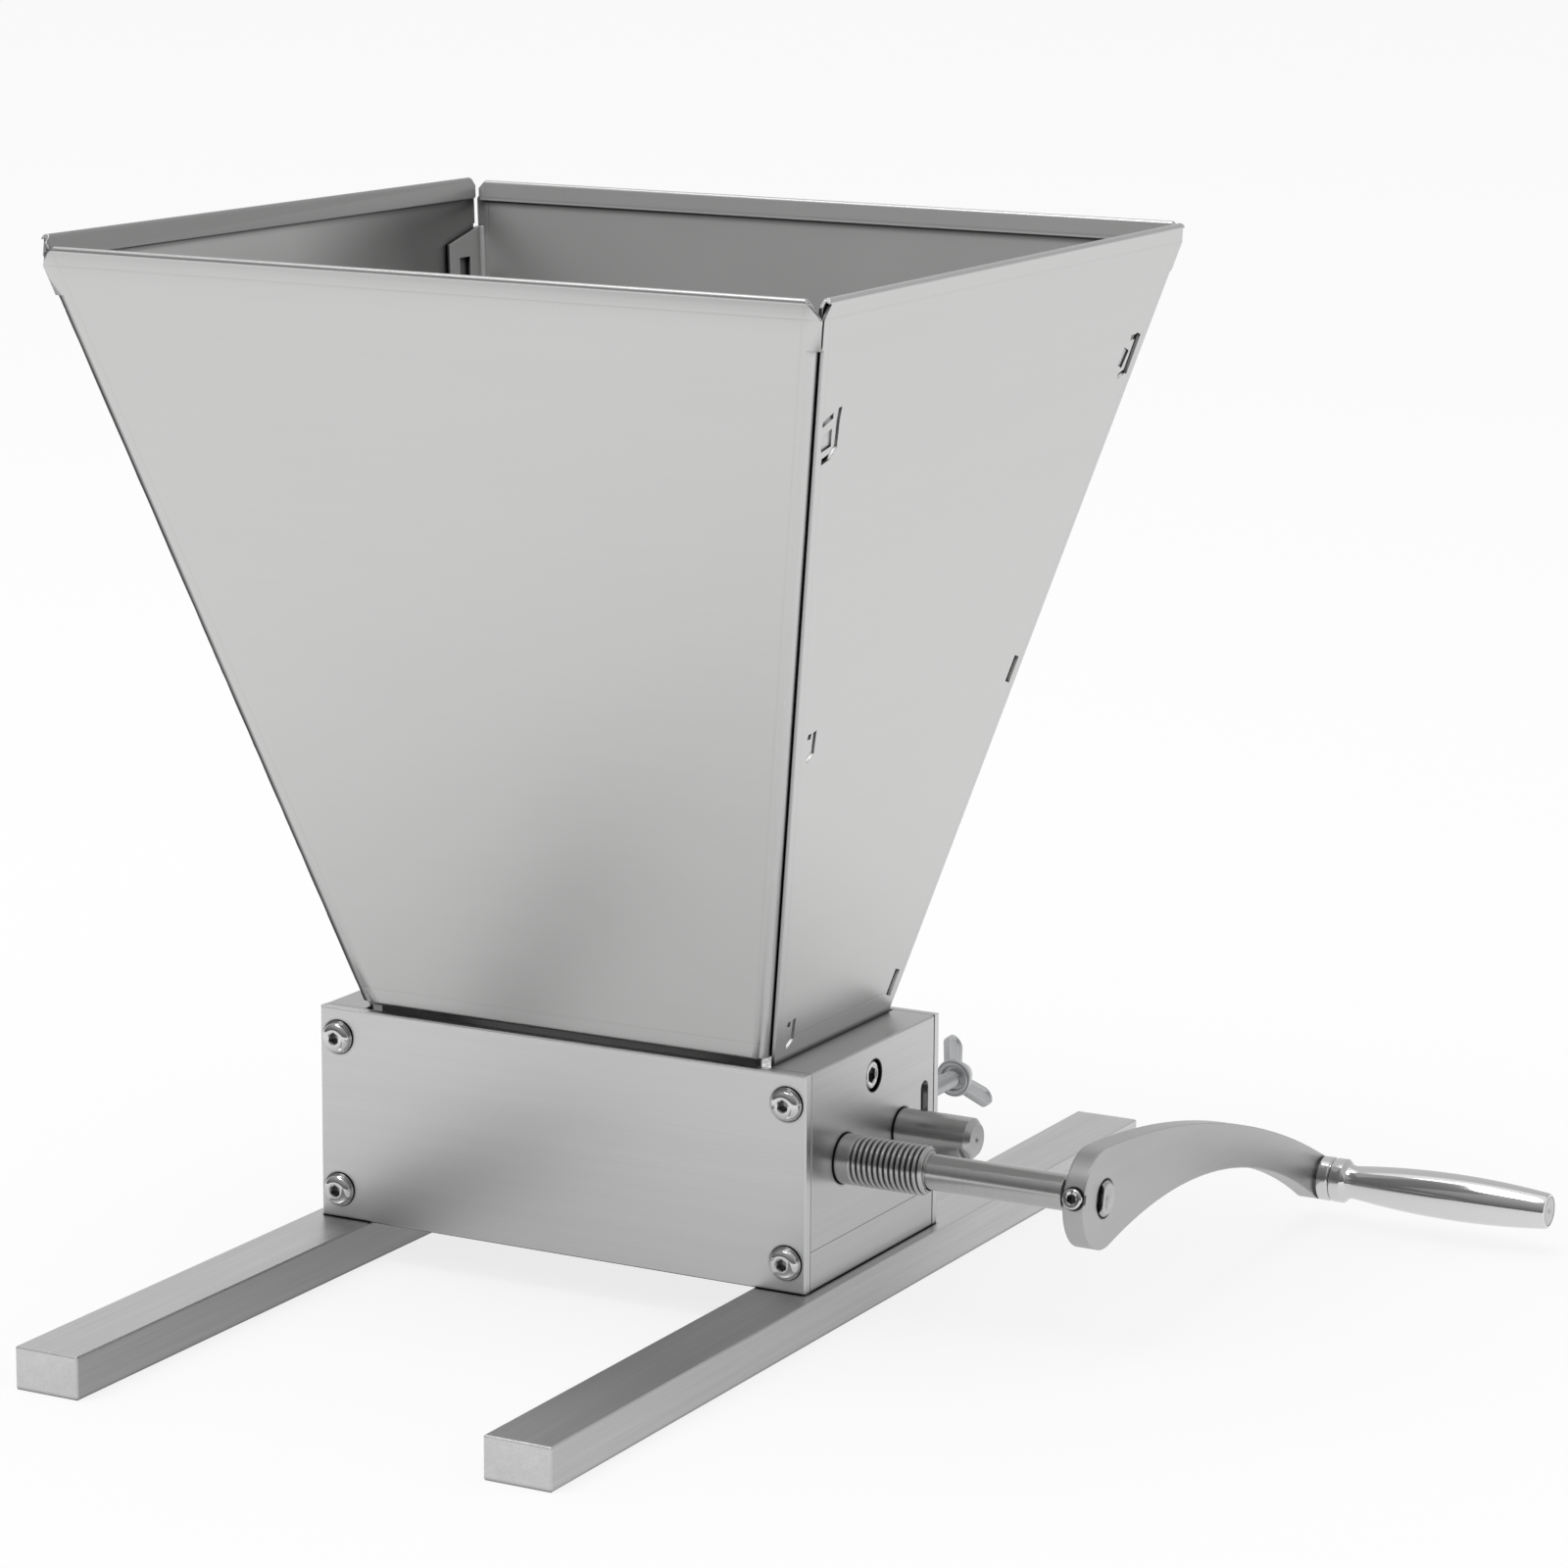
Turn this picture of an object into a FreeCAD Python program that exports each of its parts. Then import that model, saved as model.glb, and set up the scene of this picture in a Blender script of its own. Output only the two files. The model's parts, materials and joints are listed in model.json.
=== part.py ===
import FreeCAD, Part
import math
import os

# Hand-cranked two-roller malt mill with a folded sheet hopper, in millimetres.
# X runs along the rollers towards the crank, Y towards the back and Z up.
# The origin lies on the standing surface, under the middle of the mill body.
# Lengths named "inset" are measured inwards from a face or an edge.

Vector = FreeCAD.Vector
ALONG_X = Vector(1, 0, 0)
ALONG_Y = Vector(0, 1, 0)
ALONG_Z = Vector(0, 0, 1)

# Clearances
RUN_CLEAR = 0.05          # radial, between a shaft and what it turns in
FIT_CLEAR = 0.02          # radial, between pieces that are seated or screwed together
BOLT_CLEAR = 0.3          # radial, round a screw that passes through
END_PLAY = 0.2            # along X, between a turning piece and its neighbour
SHEET_CLEAR = 0.1         # between the hopper's side skirts and the mill body
FLANGE_CLEAR = 0.5        # between the hopper's flanges and its side panels
CUT_OVER = 1.0            # how far a cutting shape reaches past what it cuts

# Rollers
ROLLER_LENGTH = 127.0
ROLLER_D = 33.0
ROLLER_GAP = 1.6          # between the rollers, with the gap shaft upright
ROLLER_CHAMFER = 0.8

# Mill body: two end blocks between a front and a back plate
BODY_HEIGHT = 62.0
BLOCK_THICK = 13.0
BLOCK_DEPTH = 74.0
PLATE_THICK = 3.0
SHAFT_HEIGHT = 33.5       # shaft axes above the body's underside
EDGE_BREAK = 0.4          # small chamfer on machined edges

# Base bars
BAR_LENGTH = 350.0
BAR_WIDTH = 20.0
BAR_HEIGHT = 12.0
BAR_OVERHANG = 4.0        # outer side of a bar beyond the end block
BAR_SHIFT = -6.5          # middle of the bars, forwards of the body's middle

# Drive shaft and its flanged bushes
DRIVE_D = 14.0
DRIVE_THREAD_END = 27.0   # end of the thick stretch, beyond the right end block
DRIVE_REACH = 80.1        # end of the shaft, beyond the right end block
CRANK_SEAT_D = 10.0
CRANK_FLAT_INSET = 1.3
CRANK_FLAT_LENGTH = 12.0
SHAFT_CHAMFER = 0.8
BUSH_D = 18.0
BUSH_FLANGE_D = 22.0
BUSH_FLANGE_THICK = 1.8
BUSH_LIP = 3.0            # end block left outside of the bush
BUSH_LIP_CLEAR = 0.15
CENTRE_MARK_D = 2.0

# Gap shaft: plain journals and an eccentric middle that carries the idle roller
JOURNAL_D = 12.0
ECCENTRIC_D = 15.0
ECCENTRICITY = 1.2
STUB_REACH = 23.6         # beyond the right end block
STUB_CHAMFER = 1.5
JOURNAL_SHORT = 0.5       # left end, inside the left end block's outer face
INDEX_FLAT_LENGTH = 3.0
INDEX_FLAT_INSET = 1.0
INDEX_FLAT_TURN = 45.0    # degrees from -Y towards -Z
IDLE_BUSH_D = 19.0
IDLE_BUSH_LENGTH = 20.0
IDLE_BORE_CLEAR = 0.6     # radial, between the roller's middle and the eccentric
WASHER_D = 22.0

# Crank and handle
CRANK_THICK = 6.0
CRANK_PROUD = 1.0         # shaft end beyond the crank's front face
CRANK_THROW = 155.8
CRANK_ANGLE = -12.1       # degrees from +Y at rest, below the level
CRANK_HUB_R = 14.0
CRANK_TIP_R = 6.4
CRANK_UPPER_R = 395.0
CRANK_LOWER_R = 198.0
CRANK_BORE_CLEAR = 0.2
CRANK_BORE_FLAT_INSET = 0.3
SET_SCREW_PROUD = 1.2
SPINDLE_D = 6.0
SPINDLE_HEAD_D = 8.4
COLLAR_D = 13.0
COLLAR_LENGTH = 4.0
COLLAR_GROOVE = 0.6
COLLAR_GROOVE_DEPTH = 1.0
GRIP_GAP = 0.4            # between the collar and the grip
GRIP_LENGTH = 66.6
GRIP_RIM_D = 13.0
GRIP_RIM_LENGTH = 4.0
GRIP_NECK_D = 9.7
GRIP_NECK_AT = 6.4
GRIP_BELLY_D = 13.7
GRIP_BELLY_AT = 35.5
GRIP_END_D = 10.4
GRIP_ROUND = 0.7
GRIP_STEPS = 4            # straight steps that make up the belly's curve
PLUG_D = 8.6
PLUG_LENGTH = 2.5

# Screws and nuts, all M5
SCREW_D = 5.0
SOCKET_DEPTH = 1.8
BUTTON_HEAD_D = 9.5
BUTTON_HEAD_HEIGHT = 2.75
BUTTON_TOP_D = 5.6
BUTTON_SOCKET = 3.0
CAP_HEAD_D = 8.5
CAP_HEAD_HEIGHT = 5.0
CAP_SOCKET = 4.0
CAP_RECESS = 0.5          # head below the end block's face
COUNTERBORE_D = 9.2
SUNK_HEAD_D = 9.2
SUNK_RECESS = 0.3
SET_SOCKET = 2.5
SCREW_BITE = 10.0         # thread length in the end blocks
NUT_FLATS = 8.0
NUT_THICK = 4.0
NUT_STANDOUT = 1.0        # screw end beyond its nut
PLATE_SCREW_SIDE = 6.0    # from the body's left and right faces
PLATE_SCREW_LEVEL = 8.5   # from the body's top and underside
BAR_SCREW_SPREAD = 20.0   # from the body's middle, forwards and backwards
FIXING_DROP = 9.0         # hopper fixing screws below the body's top

# Lock of the gap shaft: a wing screw through a nut in a pocket of each end block
LOCK_HEIGHT = 3.4         # wing screw above the shaft axes
POCKET_AT = 31.2          # pocket's middle behind the body's middle
POCKET_WIDTH = 4.7
POCKET_HEIGHT = 14.6
POCKET_DEPTH = 11.0
LOCK_TIP_GAP = 0.3
WING_PLATE_CLEAR = 0.5
WING_SHANK_OUT = 21.0     # bare screw behind the back plate
WING_HUB_D = 11.0
WING_HUB_LENGTH = 7.0
WING_HUB_BEVEL = 1.2
WING_REACH = 11.5
WING_LEAN = 6.5
WING_ROOT_R = 2.6
WING_TIP_R = 2.9
WING_THICK = 2.6
WING_TURN = 125.0         # degrees from +X towards +Z, at rest

# Hopper
SHEET = 1.0
HOPPER_HEIGHT = 220.5     # rim above the mill body
HOPPER_LIFT = 0.2         # side panels' bend line above the mill body
HOPPER_TOP_WIDTH = 239.0
HOPPER_TOP_DEPTH = 223.6
HEM_LENGTH = 6.5
HEM_SPACE = 0.3
HEM_INSET = 3.1           # ends of a hem, from the hopper's corner
HEM_TOP_CUT = 2.4         # cut corners of a hem's end, at the rim
HEM_FOOT_CUT = 1.0        # and at its lower edge
RIM_CUT = 4.6             # cut corners of a panel at the rim, along it
RIM_CUT_DROP = 5.5        # and down from it
CORNER_R = 2.2            # upright bends of the front and back panels
SIDE_PANEL_INSET = 2.8    # edges of the side panels, from the front and back faces
SIDE_EAR_INSET = 2.0      # the same above the flanges
BACK_EAR_INSET = 1.6      # edges of the back panel above its flanges, from the sides
FLANGE_WIDTH = 19.0
FLANGE_TOP = 13.5         # below the rim, at the bend
FLANGE_TOP_SLOPE = 4.0    # further down at the free edge
SIDE_SKIRT = 16.2         # skirts below the bend line
PLATE_SKIRT = 12.2
LIP_RISE = 1.55           # lower edges of the front and back panels above the mill body
LIP_R = 1.5
LIP_CORNER_CUT = 0.8
BEND_RISE = 1.0           # upright bends above the lower edge
SKIRT_INSET = 2.5         # skirts of the front and back panels inside the body's opening

# Hooks that hold the side panels: slots at three levels below the rim, windows in the flanges behind them
HOOK_SLOT_WIDTH = 1.8
HOOK_BACK_SLOT_WIDTH = 3.0
HOOK_FLAG_WIDTH = 1.5
HOOK_TOP_LEVEL = 37.0
HOOK_MIDDLE_LEVEL = 124.5
HOOK_BOTTOM_LEVEL = 212.0
HOOK_FRONT_INSET = 11.0
HOOK_BACK_INSET = 8.0
HOOK_DIMPLE_DEPTH = 0.45
HOOK_WINDOW_INSET = 7.7
HOOK_WINDOW_WIDTH = 5.9
HOOK_WINDOW_HEIGHT = 20.0
HOOK_WINDOW_RISE = 5.2    # window's middle above its hook's level

# Places worked out from the sizes above
BODY_BOTTOM = BAR_HEIGHT
BODY_TOP = BODY_BOTTOM + BODY_HEIGHT
OPENING_X = ROLLER_LENGTH / 2 + END_PLAY + BUSH_FLANGE_THICK
BLOCK_X = OPENING_X + BLOCK_THICK
OPENING_Y = BLOCK_DEPTH / 2
PLATE_Y = OPENING_Y + PLATE_THICK
SHAFT_Z = BODY_BOTTOM + SHAFT_HEIGHT
DRIVE_Y = -(ROLLER_D + ROLLER_GAP) / 2
GAP_Y = -DRIVE_Y
IDLE_Z = SHAFT_Z + ECCENTRICITY
SCREW_R = SCREW_D / 2
PLATE_SCREW_X = BLOCK_X - PLATE_SCREW_SIDE
LOCK_Z = SHAFT_Z + LOCK_HEIGHT
BAR_X = BLOCK_X + BAR_OVERHANG - BAR_WIDTH / 2
FIXING_Z = BODY_TOP - FIXING_DROP
CRANK_FRONT = BLOCK_X + DRIVE_REACH - CRANK_PROUD
CRANK_BACK = CRANK_FRONT - CRANK_THICK
CRANK_TURN = math.radians(CRANK_ANGLE)
HANDLE_Y = DRIVE_Y + CRANK_THROW * math.cos(CRANK_TURN)
HANDLE_Z = SHAFT_Z + CRANK_THROW * math.sin(CRANK_TURN)
BEND_Z = BODY_TOP + HOPPER_LIFT
RIM_Z = BODY_TOP + HOPPER_HEIGHT
HALF_WIDTH = OPENING_X - SHEET_CLEAR
HALF_DEPTH = OPENING_Y - SHEET_CLEAR
SIDE_LEAN = math.atan2(HOPPER_TOP_WIDTH / 2 - HALF_WIDTH, RIM_Z - BEND_Z)
FRONT_LEAN = math.atan2(HOPPER_TOP_DEPTH / 2 - HALF_DEPTH, RIM_Z - BEND_Z)
SIDE_STEP = SHEET / math.cos(SIDE_LEAN)
FRONT_STEP = SHEET / math.cos(FRONT_LEAN)
FOLD_R = SHEET + HEM_SPACE / 2
FLANGE_INSET = SIDE_STEP + FLANGE_CLEAR
FLANGE_HIGH = RIM_Z - FLANGE_TOP
LIP_Z = BODY_TOP + LIP_RISE
REACH = HOPPER_TOP_WIDTH + HOPPER_TOP_DEPTH


def face_of(start, steps, place):
    """Flat face inside an outline of lines (one point a step) and arcs (through a point to the next)."""
    edges = []
    here = start
    for step in steps + [(start,)]:
        there = step[-1]
        if math.dist(here, there) < 1e-7:
            continue
        if len(step) == 2:
            edges.append(Part.Arc(place(here), place(step[0]), place(there)).toShape())
        else:
            edges.append(Part.LineSegment(place(here), place(there)).toShape())
        here = there
    return Part.Face(Part.Wire(edges))


def lines(points):
    """Start and steps of an outline that has only straight lines."""
    return points[0], [(point,) for point in points[1:]]


def box(low, high):
    """Block between two opposite corners."""
    return Part.makeBox(high[0] - low[0], high[1] - low[1], high[2] - low[2], Vector(*low))


def rod(start, direction, length, radius):
    """Round bar from a start point along a direction."""
    return Part.makeCylinder(radius, length, Vector(*start), direction)


def turned(start, steps, origin, direction=ALONG_X):
    """Turned piece: an outline of (distance along, radius), spun about an axis through the origin."""
    section = face_of(start, steps, lambda point: Vector(point[0], point[1], 0))
    solid = section.revolve(Vector(), ALONG_X, 360)
    solid.Placement = FreeCAD.Placement(Vector(*origin), FreeCAD.Rotation(ALONG_X, direction))
    return solid


def hexagon(flats, origin, direction, start, end):
    """Hexagonal bar along a direction, between two distances from the origin."""
    corner = flats / math.sqrt(3)
    points = []
    for index in range(6):
        turn = index * math.pi / 3
        points.append((corner * math.cos(turn), corner * math.sin(turn)))
    first, steps = lines(points)
    section = face_of(first, steps, lambda point: Vector(start, point[0], point[1]))
    solid = section.extrude(ALONG_X * (end - start))
    solid.Placement = FreeCAD.Placement(Vector(*origin), FreeCAD.Rotation(ALONG_X, direction))
    return solid


def mirrored(shape):
    """The same piece for the left side."""
    return shape.mirror(Vector(), ALONG_X)


def edges_where(shape, test):
    """Edges whose both ends pass a test."""
    return [edge for edge in shape.Edges if all(test(vertex.Point) for vertex in edge.Vertexes)]


def base_bar(side):
    """Bar under one end block, with countersunk holes from below."""
    middle = side * BAR_X
    front = BAR_SHIFT - BAR_LENGTH / 2
    half = BAR_WIDTH / 2
    bar = box((middle - half, front, 0), (middle + half, front + BAR_LENGTH, BAR_HEIGHT))
    bar = bar.makeChamfer(EDGE_BREAK, bar.Edges)
    for spread in (-BAR_SCREW_SPREAD, BAR_SCREW_SPREAD):
        bar = bar.cut(rod((middle, spread, 0), ALONG_Z, BAR_HEIGHT, SCREW_R + BOLT_CLEAR))
        bar = bar.cut(sunk_head((middle, spread, 0), FIT_CLEAR))
    return bar


def sunk_head(origin, margin):
    """Countersunk head below a surface, or its seat when a margin is given."""
    head = SUNK_HEAD_D / 2 + margin
    mouth = -CUT_OVER if margin else SUNK_RECESS
    neck = SUNK_RECESS + head - SCREW_R
    start, steps = lines([(mouth, 0), (mouth, head), (SUNK_RECESS, head), (neck, SCREW_R), (neck, 0)])
    return turned(start, steps, origin, ALONG_Z)


def base_bar_screws():
    """Countersunk screws that hold the bars to the end blocks."""
    screws = []
    for middle in (-BAR_X, BAR_X):
        for spread in (-BAR_SCREW_SPREAD, BAR_SCREW_SPREAD):
            origin = (middle, spread, 0)
            neck = SUNK_RECESS + SUNK_HEAD_D / 2 - SCREW_R
            shank = rod((middle, spread, neck), ALONG_Z, BAR_HEIGHT + SCREW_BITE - neck, SCREW_R)
            screw = sunk_head(origin, 0).fuse(shank).removeSplitter()
            screws.append(screw.cut(hexagon(BUTTON_SOCKET, origin, ALONG_Z, 0, SUNK_RECESS + SOCKET_DEPTH)))
    return Part.makeCompound(screws)


def end_block():
    """Right end block; the left one is its mirror image."""
    block = box((OPENING_X, -OPENING_Y, BODY_BOTTOM), (BLOCK_X, OPENING_Y, BODY_TOP))
    block = block.makeChamfer(EDGE_BREAK, edges_where(block, lambda p: p.x > BLOCK_X - 1e-6))
    seat_depth = BLOCK_THICK - BUSH_LIP
    cuts = [
        rod((OPENING_X, DRIVE_Y, SHAFT_Z), ALONG_X, seat_depth, BUSH_D / 2 + FIT_CLEAR),
        rod((OPENING_X, DRIVE_Y, SHAFT_Z), ALONG_X, BLOCK_THICK, DRIVE_D / 2 + BUSH_LIP_CLEAR),
        rod((OPENING_X, GAP_Y, SHAFT_Z), ALONG_X, BLOCK_THICK, JOURNAL_D / 2 + RUN_CLEAR),
        rod((OPENING_X, 0, FIXING_Z), ALONG_X, BLOCK_THICK, SCREW_R + BOLT_CLEAR),
        rod((BLOCK_X, 0, FIXING_Z), -ALONG_X, CAP_RECESS + CAP_HEAD_HEIGHT, COUNTERBORE_D / 2),
        rod((PLATE_SCREW_X, OPENING_Y, LOCK_Z), -ALONG_Y, OPENING_Y - GAP_Y, SCREW_R + BOLT_CLEAR),
    ]
    for level in screw_levels():
        for end in (-1, 1):
            mouth = (PLATE_SCREW_X, end * OPENING_Y, level)
            cuts.append(rod(mouth, ALONG_Y * -end, SCREW_BITE, SCREW_R + FIT_CLEAR))
    for spread in (-BAR_SCREW_SPREAD, BAR_SCREW_SPREAD):
        cuts.append(rod((BAR_X, spread, BODY_BOTTOM), ALONG_Z, SCREW_BITE, SCREW_R + FIT_CLEAR))
    half_slot = (POCKET_HEIGHT - POCKET_WIDTH) / 2
    for level in (LOCK_Z - half_slot, LOCK_Z + half_slot):
        cuts.append(rod((BLOCK_X, POCKET_AT, level), -ALONG_X, POCKET_DEPTH, POCKET_WIDTH / 2))
    cuts.append(box(
        (BLOCK_X - POCKET_DEPTH, POCKET_AT - POCKET_WIDTH / 2, LOCK_Z - half_slot),
        (BLOCK_X, POCKET_AT + POCKET_WIDTH / 2, LOCK_Z + half_slot),
    ))
    return block.cut(cuts).removeSplitter()


def screw_levels():
    """Heights of the plate screws."""
    return BODY_BOTTOM + PLATE_SCREW_LEVEL, BODY_TOP - PLATE_SCREW_LEVEL


def body_plate(end):
    """Front (-1) or back (1) plate; the back plate also lets the wing screws through."""
    inner, outer = sorted((end * OPENING_Y, end * PLATE_Y))
    plate = box((-BLOCK_X, inner, BODY_BOTTOM), (BLOCK_X, outer, BODY_TOP))
    plate = plate.makeChamfer(EDGE_BREAK, edges_where(plate, lambda p: abs(p.y) > PLATE_Y - 1e-6))
    for screw_x in (-PLATE_SCREW_X, PLATE_SCREW_X):
        for level in screw_levels():
            plate = plate.cut(rod((screw_x, inner, level), ALONG_Y, PLATE_THICK, SCREW_R + BOLT_CLEAR))
        if end > 0:
            wing_hole_r = SCREW_R + WING_PLATE_CLEAR
            plate = plate.cut(rod((screw_x, inner, LOCK_Z), ALONG_Y, PLATE_THICK, wing_hole_r))
    return plate


def plate_screws(end):
    """Four button-head screws with hexagon sockets."""
    shank = PLATE_THICK + SCREW_BITE
    head = BUTTON_HEAD_D / 2
    start, steps = lines([
        (-shank, 0), (-shank, SCREW_R), (0, SCREW_R), (0, head),
        (BUTTON_HEAD_HEIGHT, BUTTON_TOP_D / 2), (BUTTON_HEAD_HEIGHT, 0),
    ])
    screws = []
    for screw_x in (-PLATE_SCREW_X, PLATE_SCREW_X):
        for level in screw_levels():
            origin = (screw_x, end * PLATE_Y, level)
            direction = ALONG_Y * end
            floor = BUTTON_HEAD_HEIGHT - SOCKET_DEPTH
            screw = turned(start, steps, origin, direction)
            screws.append(screw.cut(hexagon(BUTTON_SOCKET, origin, direction, floor, BUTTON_HEAD_HEIGHT)))
    return Part.makeCompound(screws)


def hopper_fixing_screw():
    """Right socket-head screw that holds the hopper's side skirt."""
    seat = BLOCK_X - CAP_RECESS - CAP_HEAD_HEIGHT
    shank = seat - (HALF_WIDTH - SHEET - NUT_THICK - NUT_STANDOUT)
    head = CAP_HEAD_D / 2
    start, steps = lines([
        (-shank, 0), (-shank, SCREW_R), (0, SCREW_R), (0, head), (CAP_HEAD_HEIGHT - EDGE_BREAK, head),
        (CAP_HEAD_HEIGHT, head - EDGE_BREAK), (CAP_HEAD_HEIGHT, 0),
    ])
    origin = (seat, 0, FIXING_Z)
    screw = turned(start, steps, origin)
    return screw.cut(hexagon(CAP_SOCKET, origin, ALONG_X, CAP_HEAD_HEIGHT - SOCKET_DEPTH, CAP_HEAD_HEIGHT))


def hopper_fixing_nut():
    """Right nut inside the hopper's side skirt."""
    face = HALF_WIDTH - SHEET
    nut = hexagon(NUT_FLATS, (face, 0, FIXING_Z), ALONG_X, -NUT_THICK, 0)
    return nut.cut(rod((face, 0, FIXING_Z), -ALONG_X, NUT_THICK, SCREW_R + FIT_CLEAR))


def pair(shape):
    """A right-hand piece and its mirror image, as one group."""
    return Part.makeCompound([mirrored(shape), shape])


def drive_bush():
    """Right flanged bush, seated from inside."""
    flange = OPENING_X - BUSH_FLANGE_THICK
    seat = BLOCK_THICK - BUSH_LIP
    bush = rod((flange, DRIVE_Y, SHAFT_Z), ALONG_X, BUSH_FLANGE_THICK, BUSH_FLANGE_D / 2)
    bush = bush.fuse(rod((OPENING_X, DRIVE_Y, SHAFT_Z), ALONG_X, seat, BUSH_D / 2))
    bore = rod((flange, DRIVE_Y, SHAFT_Z), ALONG_X, seat + BUSH_FLANGE_THICK, DRIVE_D / 2 + RUN_CLEAR)
    return bush.cut(bore).removeSplitter()


def centre_mark(x, y, z):
    """Small cone drilled into the right-hand end of a shaft."""
    depth = CENTRE_MARK_D / 2
    return Part.makeCone(CENTRE_MARK_D / 2, 0, depth, Vector(x, y, z), -ALONG_X)


def drive_shaft():
    """Shaft of the fixed roller: thick stretch, then the crank's seat with its flat."""
    thick = DRIVE_D / 2
    seat = CRANK_SEAT_D / 2
    shoulder = BLOCK_X + DRIVE_THREAD_END
    end = BLOCK_X + DRIVE_REACH
    start, steps = lines([
        (-BLOCK_X, 0), (-BLOCK_X, thick - SHAFT_CHAMFER), (SHAFT_CHAMFER - BLOCK_X, thick),
        (shoulder - SHAFT_CHAMFER, thick), (shoulder, thick - SHAFT_CHAMFER), (shoulder, seat),
        (end - SHAFT_CHAMFER, seat), (end, seat - SHAFT_CHAMFER), (end, 0),
    ])
    shaft = turned(start, steps, (0, DRIVE_Y, SHAFT_Z))
    flat = box((end - CRANK_FLAT_LENGTH, -2 * seat, -seat), (end + CUT_OVER, CRANK_FLAT_INSET - seat, seat))
    shaft = shaft.cut(in_crank_frame(flat))
    return shaft.cut(centre_mark(end, DRIVE_Y, SHAFT_Z))


def in_crank_frame(shape):
    """Turn a shape made about the X axis, with the crank along +Y, to the crank's place."""
    shape = shape.copy()
    shape.rotate(Vector(), ALONG_X, CRANK_ANGLE)
    shape.translate(Vector(0, DRIVE_Y, SHAFT_Z))
    return shape


def roller(y, z, bore_r):
    """Steel roller with chamfered ends and a plain bore."""
    half = ROLLER_LENGTH / 2
    outer = ROLLER_D / 2
    start, steps = lines([
        (-half, bore_r), (-half, outer - ROLLER_CHAMFER), (ROLLER_CHAMFER - half, outer),
        (half - ROLLER_CHAMFER, outer), (half, outer - ROLLER_CHAMFER), (half, bore_r),
    ])
    return turned(start, steps, (0, y, z))


def idle_roller():
    """Roller with a seat for a bush in each end."""
    body = roller(GAP_Y, IDLE_Z, ECCENTRIC_D / 2 + IDLE_BORE_CLEAR)
    for end in (-1, 1):
        mouth = (end * ROLLER_LENGTH / 2, GAP_Y, IDLE_Z)
        body = body.cut(rod(mouth, ALONG_X * -end, IDLE_BUSH_LENGTH, IDLE_BUSH_D / 2 + FIT_CLEAR))
    return body


def idle_bush():
    """Right bush in the idle roller, running on the eccentric."""
    start = ROLLER_LENGTH / 2 - IDLE_BUSH_LENGTH
    bush = rod((start, GAP_Y, IDLE_Z), ALONG_X, IDLE_BUSH_LENGTH, IDLE_BUSH_D / 2)
    return bush.cut(rod((start, GAP_Y, IDLE_Z), ALONG_X, IDLE_BUSH_LENGTH, ECCENTRIC_D / 2 + RUN_CLEAR))


def idle_washer():
    """Right thrust washer between the end block and the idle roller."""
    start = OPENING_X - BUSH_FLANGE_THICK
    washer = rod((start, GAP_Y, SHAFT_Z), ALONG_X, BUSH_FLANGE_THICK, WASHER_D / 2)
    return washer.cut(rod((start, GAP_Y, SHAFT_Z), ALONG_X, BUSH_FLANGE_THICK, JOURNAL_D / 2 + BOLT_CLEAR))


def gap_shaft():
    """Shaft that sets the roller gap: turning it moves its eccentric middle and the idle roller."""
    journal = JOURNAL_D / 2
    left = JOURNAL_SHORT - BLOCK_X
    right = BLOCK_X + STUB_REACH
    start, steps = lines([
        (left, 0), (left, journal - SHAFT_CHAMFER), (left + SHAFT_CHAMFER, journal),
        (right - STUB_CHAMFER, journal), (right, journal - STUB_CHAMFER), (right, 0),
    ])
    shaft = turned(start, steps, (0, GAP_Y, SHAFT_Z))
    shaft = shaft.fuse(rod((-ROLLER_LENGTH / 2, GAP_Y, IDLE_Z), ALONG_X, ROLLER_LENGTH, ECCENTRIC_D / 2))
    flat = box(
        (right - INDEX_FLAT_LENGTH, -JOURNAL_D, -journal),
        (right + CUT_OVER, INDEX_FLAT_INSET - journal, journal))
    flat.rotate(Vector(), ALONG_X, INDEX_FLAT_TURN)
    flat.translate(Vector(0, GAP_Y, SHAFT_Z))
    return shaft.cut(flat).cut(centre_mark(right, GAP_Y, SHAFT_Z)).removeSplitter()


def lock_nut():
    """Right nut of the wing screw, in its pocket, with two flats upright."""
    origin = (PLATE_SCREW_X, POCKET_AT, LOCK_Z)
    nut = hexagon(NUT_FLATS, origin, ALONG_Y, -NUT_THICK / 2, NUT_THICK / 2)
    nut.rotate(Vector(*origin), ALONG_Y, math.degrees(math.pi / 6))
    bore = rod((PLATE_SCREW_X, POCKET_AT - NUT_THICK / 2, LOCK_Z), ALONG_Y, NUT_THICK, SCREW_R + RUN_CLEAR)
    return nut.cut(bore)


def capsule(first, first_r, second, second_r):
    """Outline round two discs and the straight lines that touch both."""
    base = math.atan2(second[1] - first[1], second[0] - first[0])
    spread = math.acos((first_r - second_r) / math.dist(first, second))

    def on(centre, radius, turn):
        return centre[0] + radius * math.cos(turn), centre[1] + radius * math.sin(turn)

    start = on(first, first_r, base + spread)
    return start, [
        (on(second, second_r, base + spread),),
        (on(second, second_r, base), on(second, second_r, base - spread)),
        (on(first, first_r, base - spread),),
        (on(first, first_r, base + math.pi), start),
    ]


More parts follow.
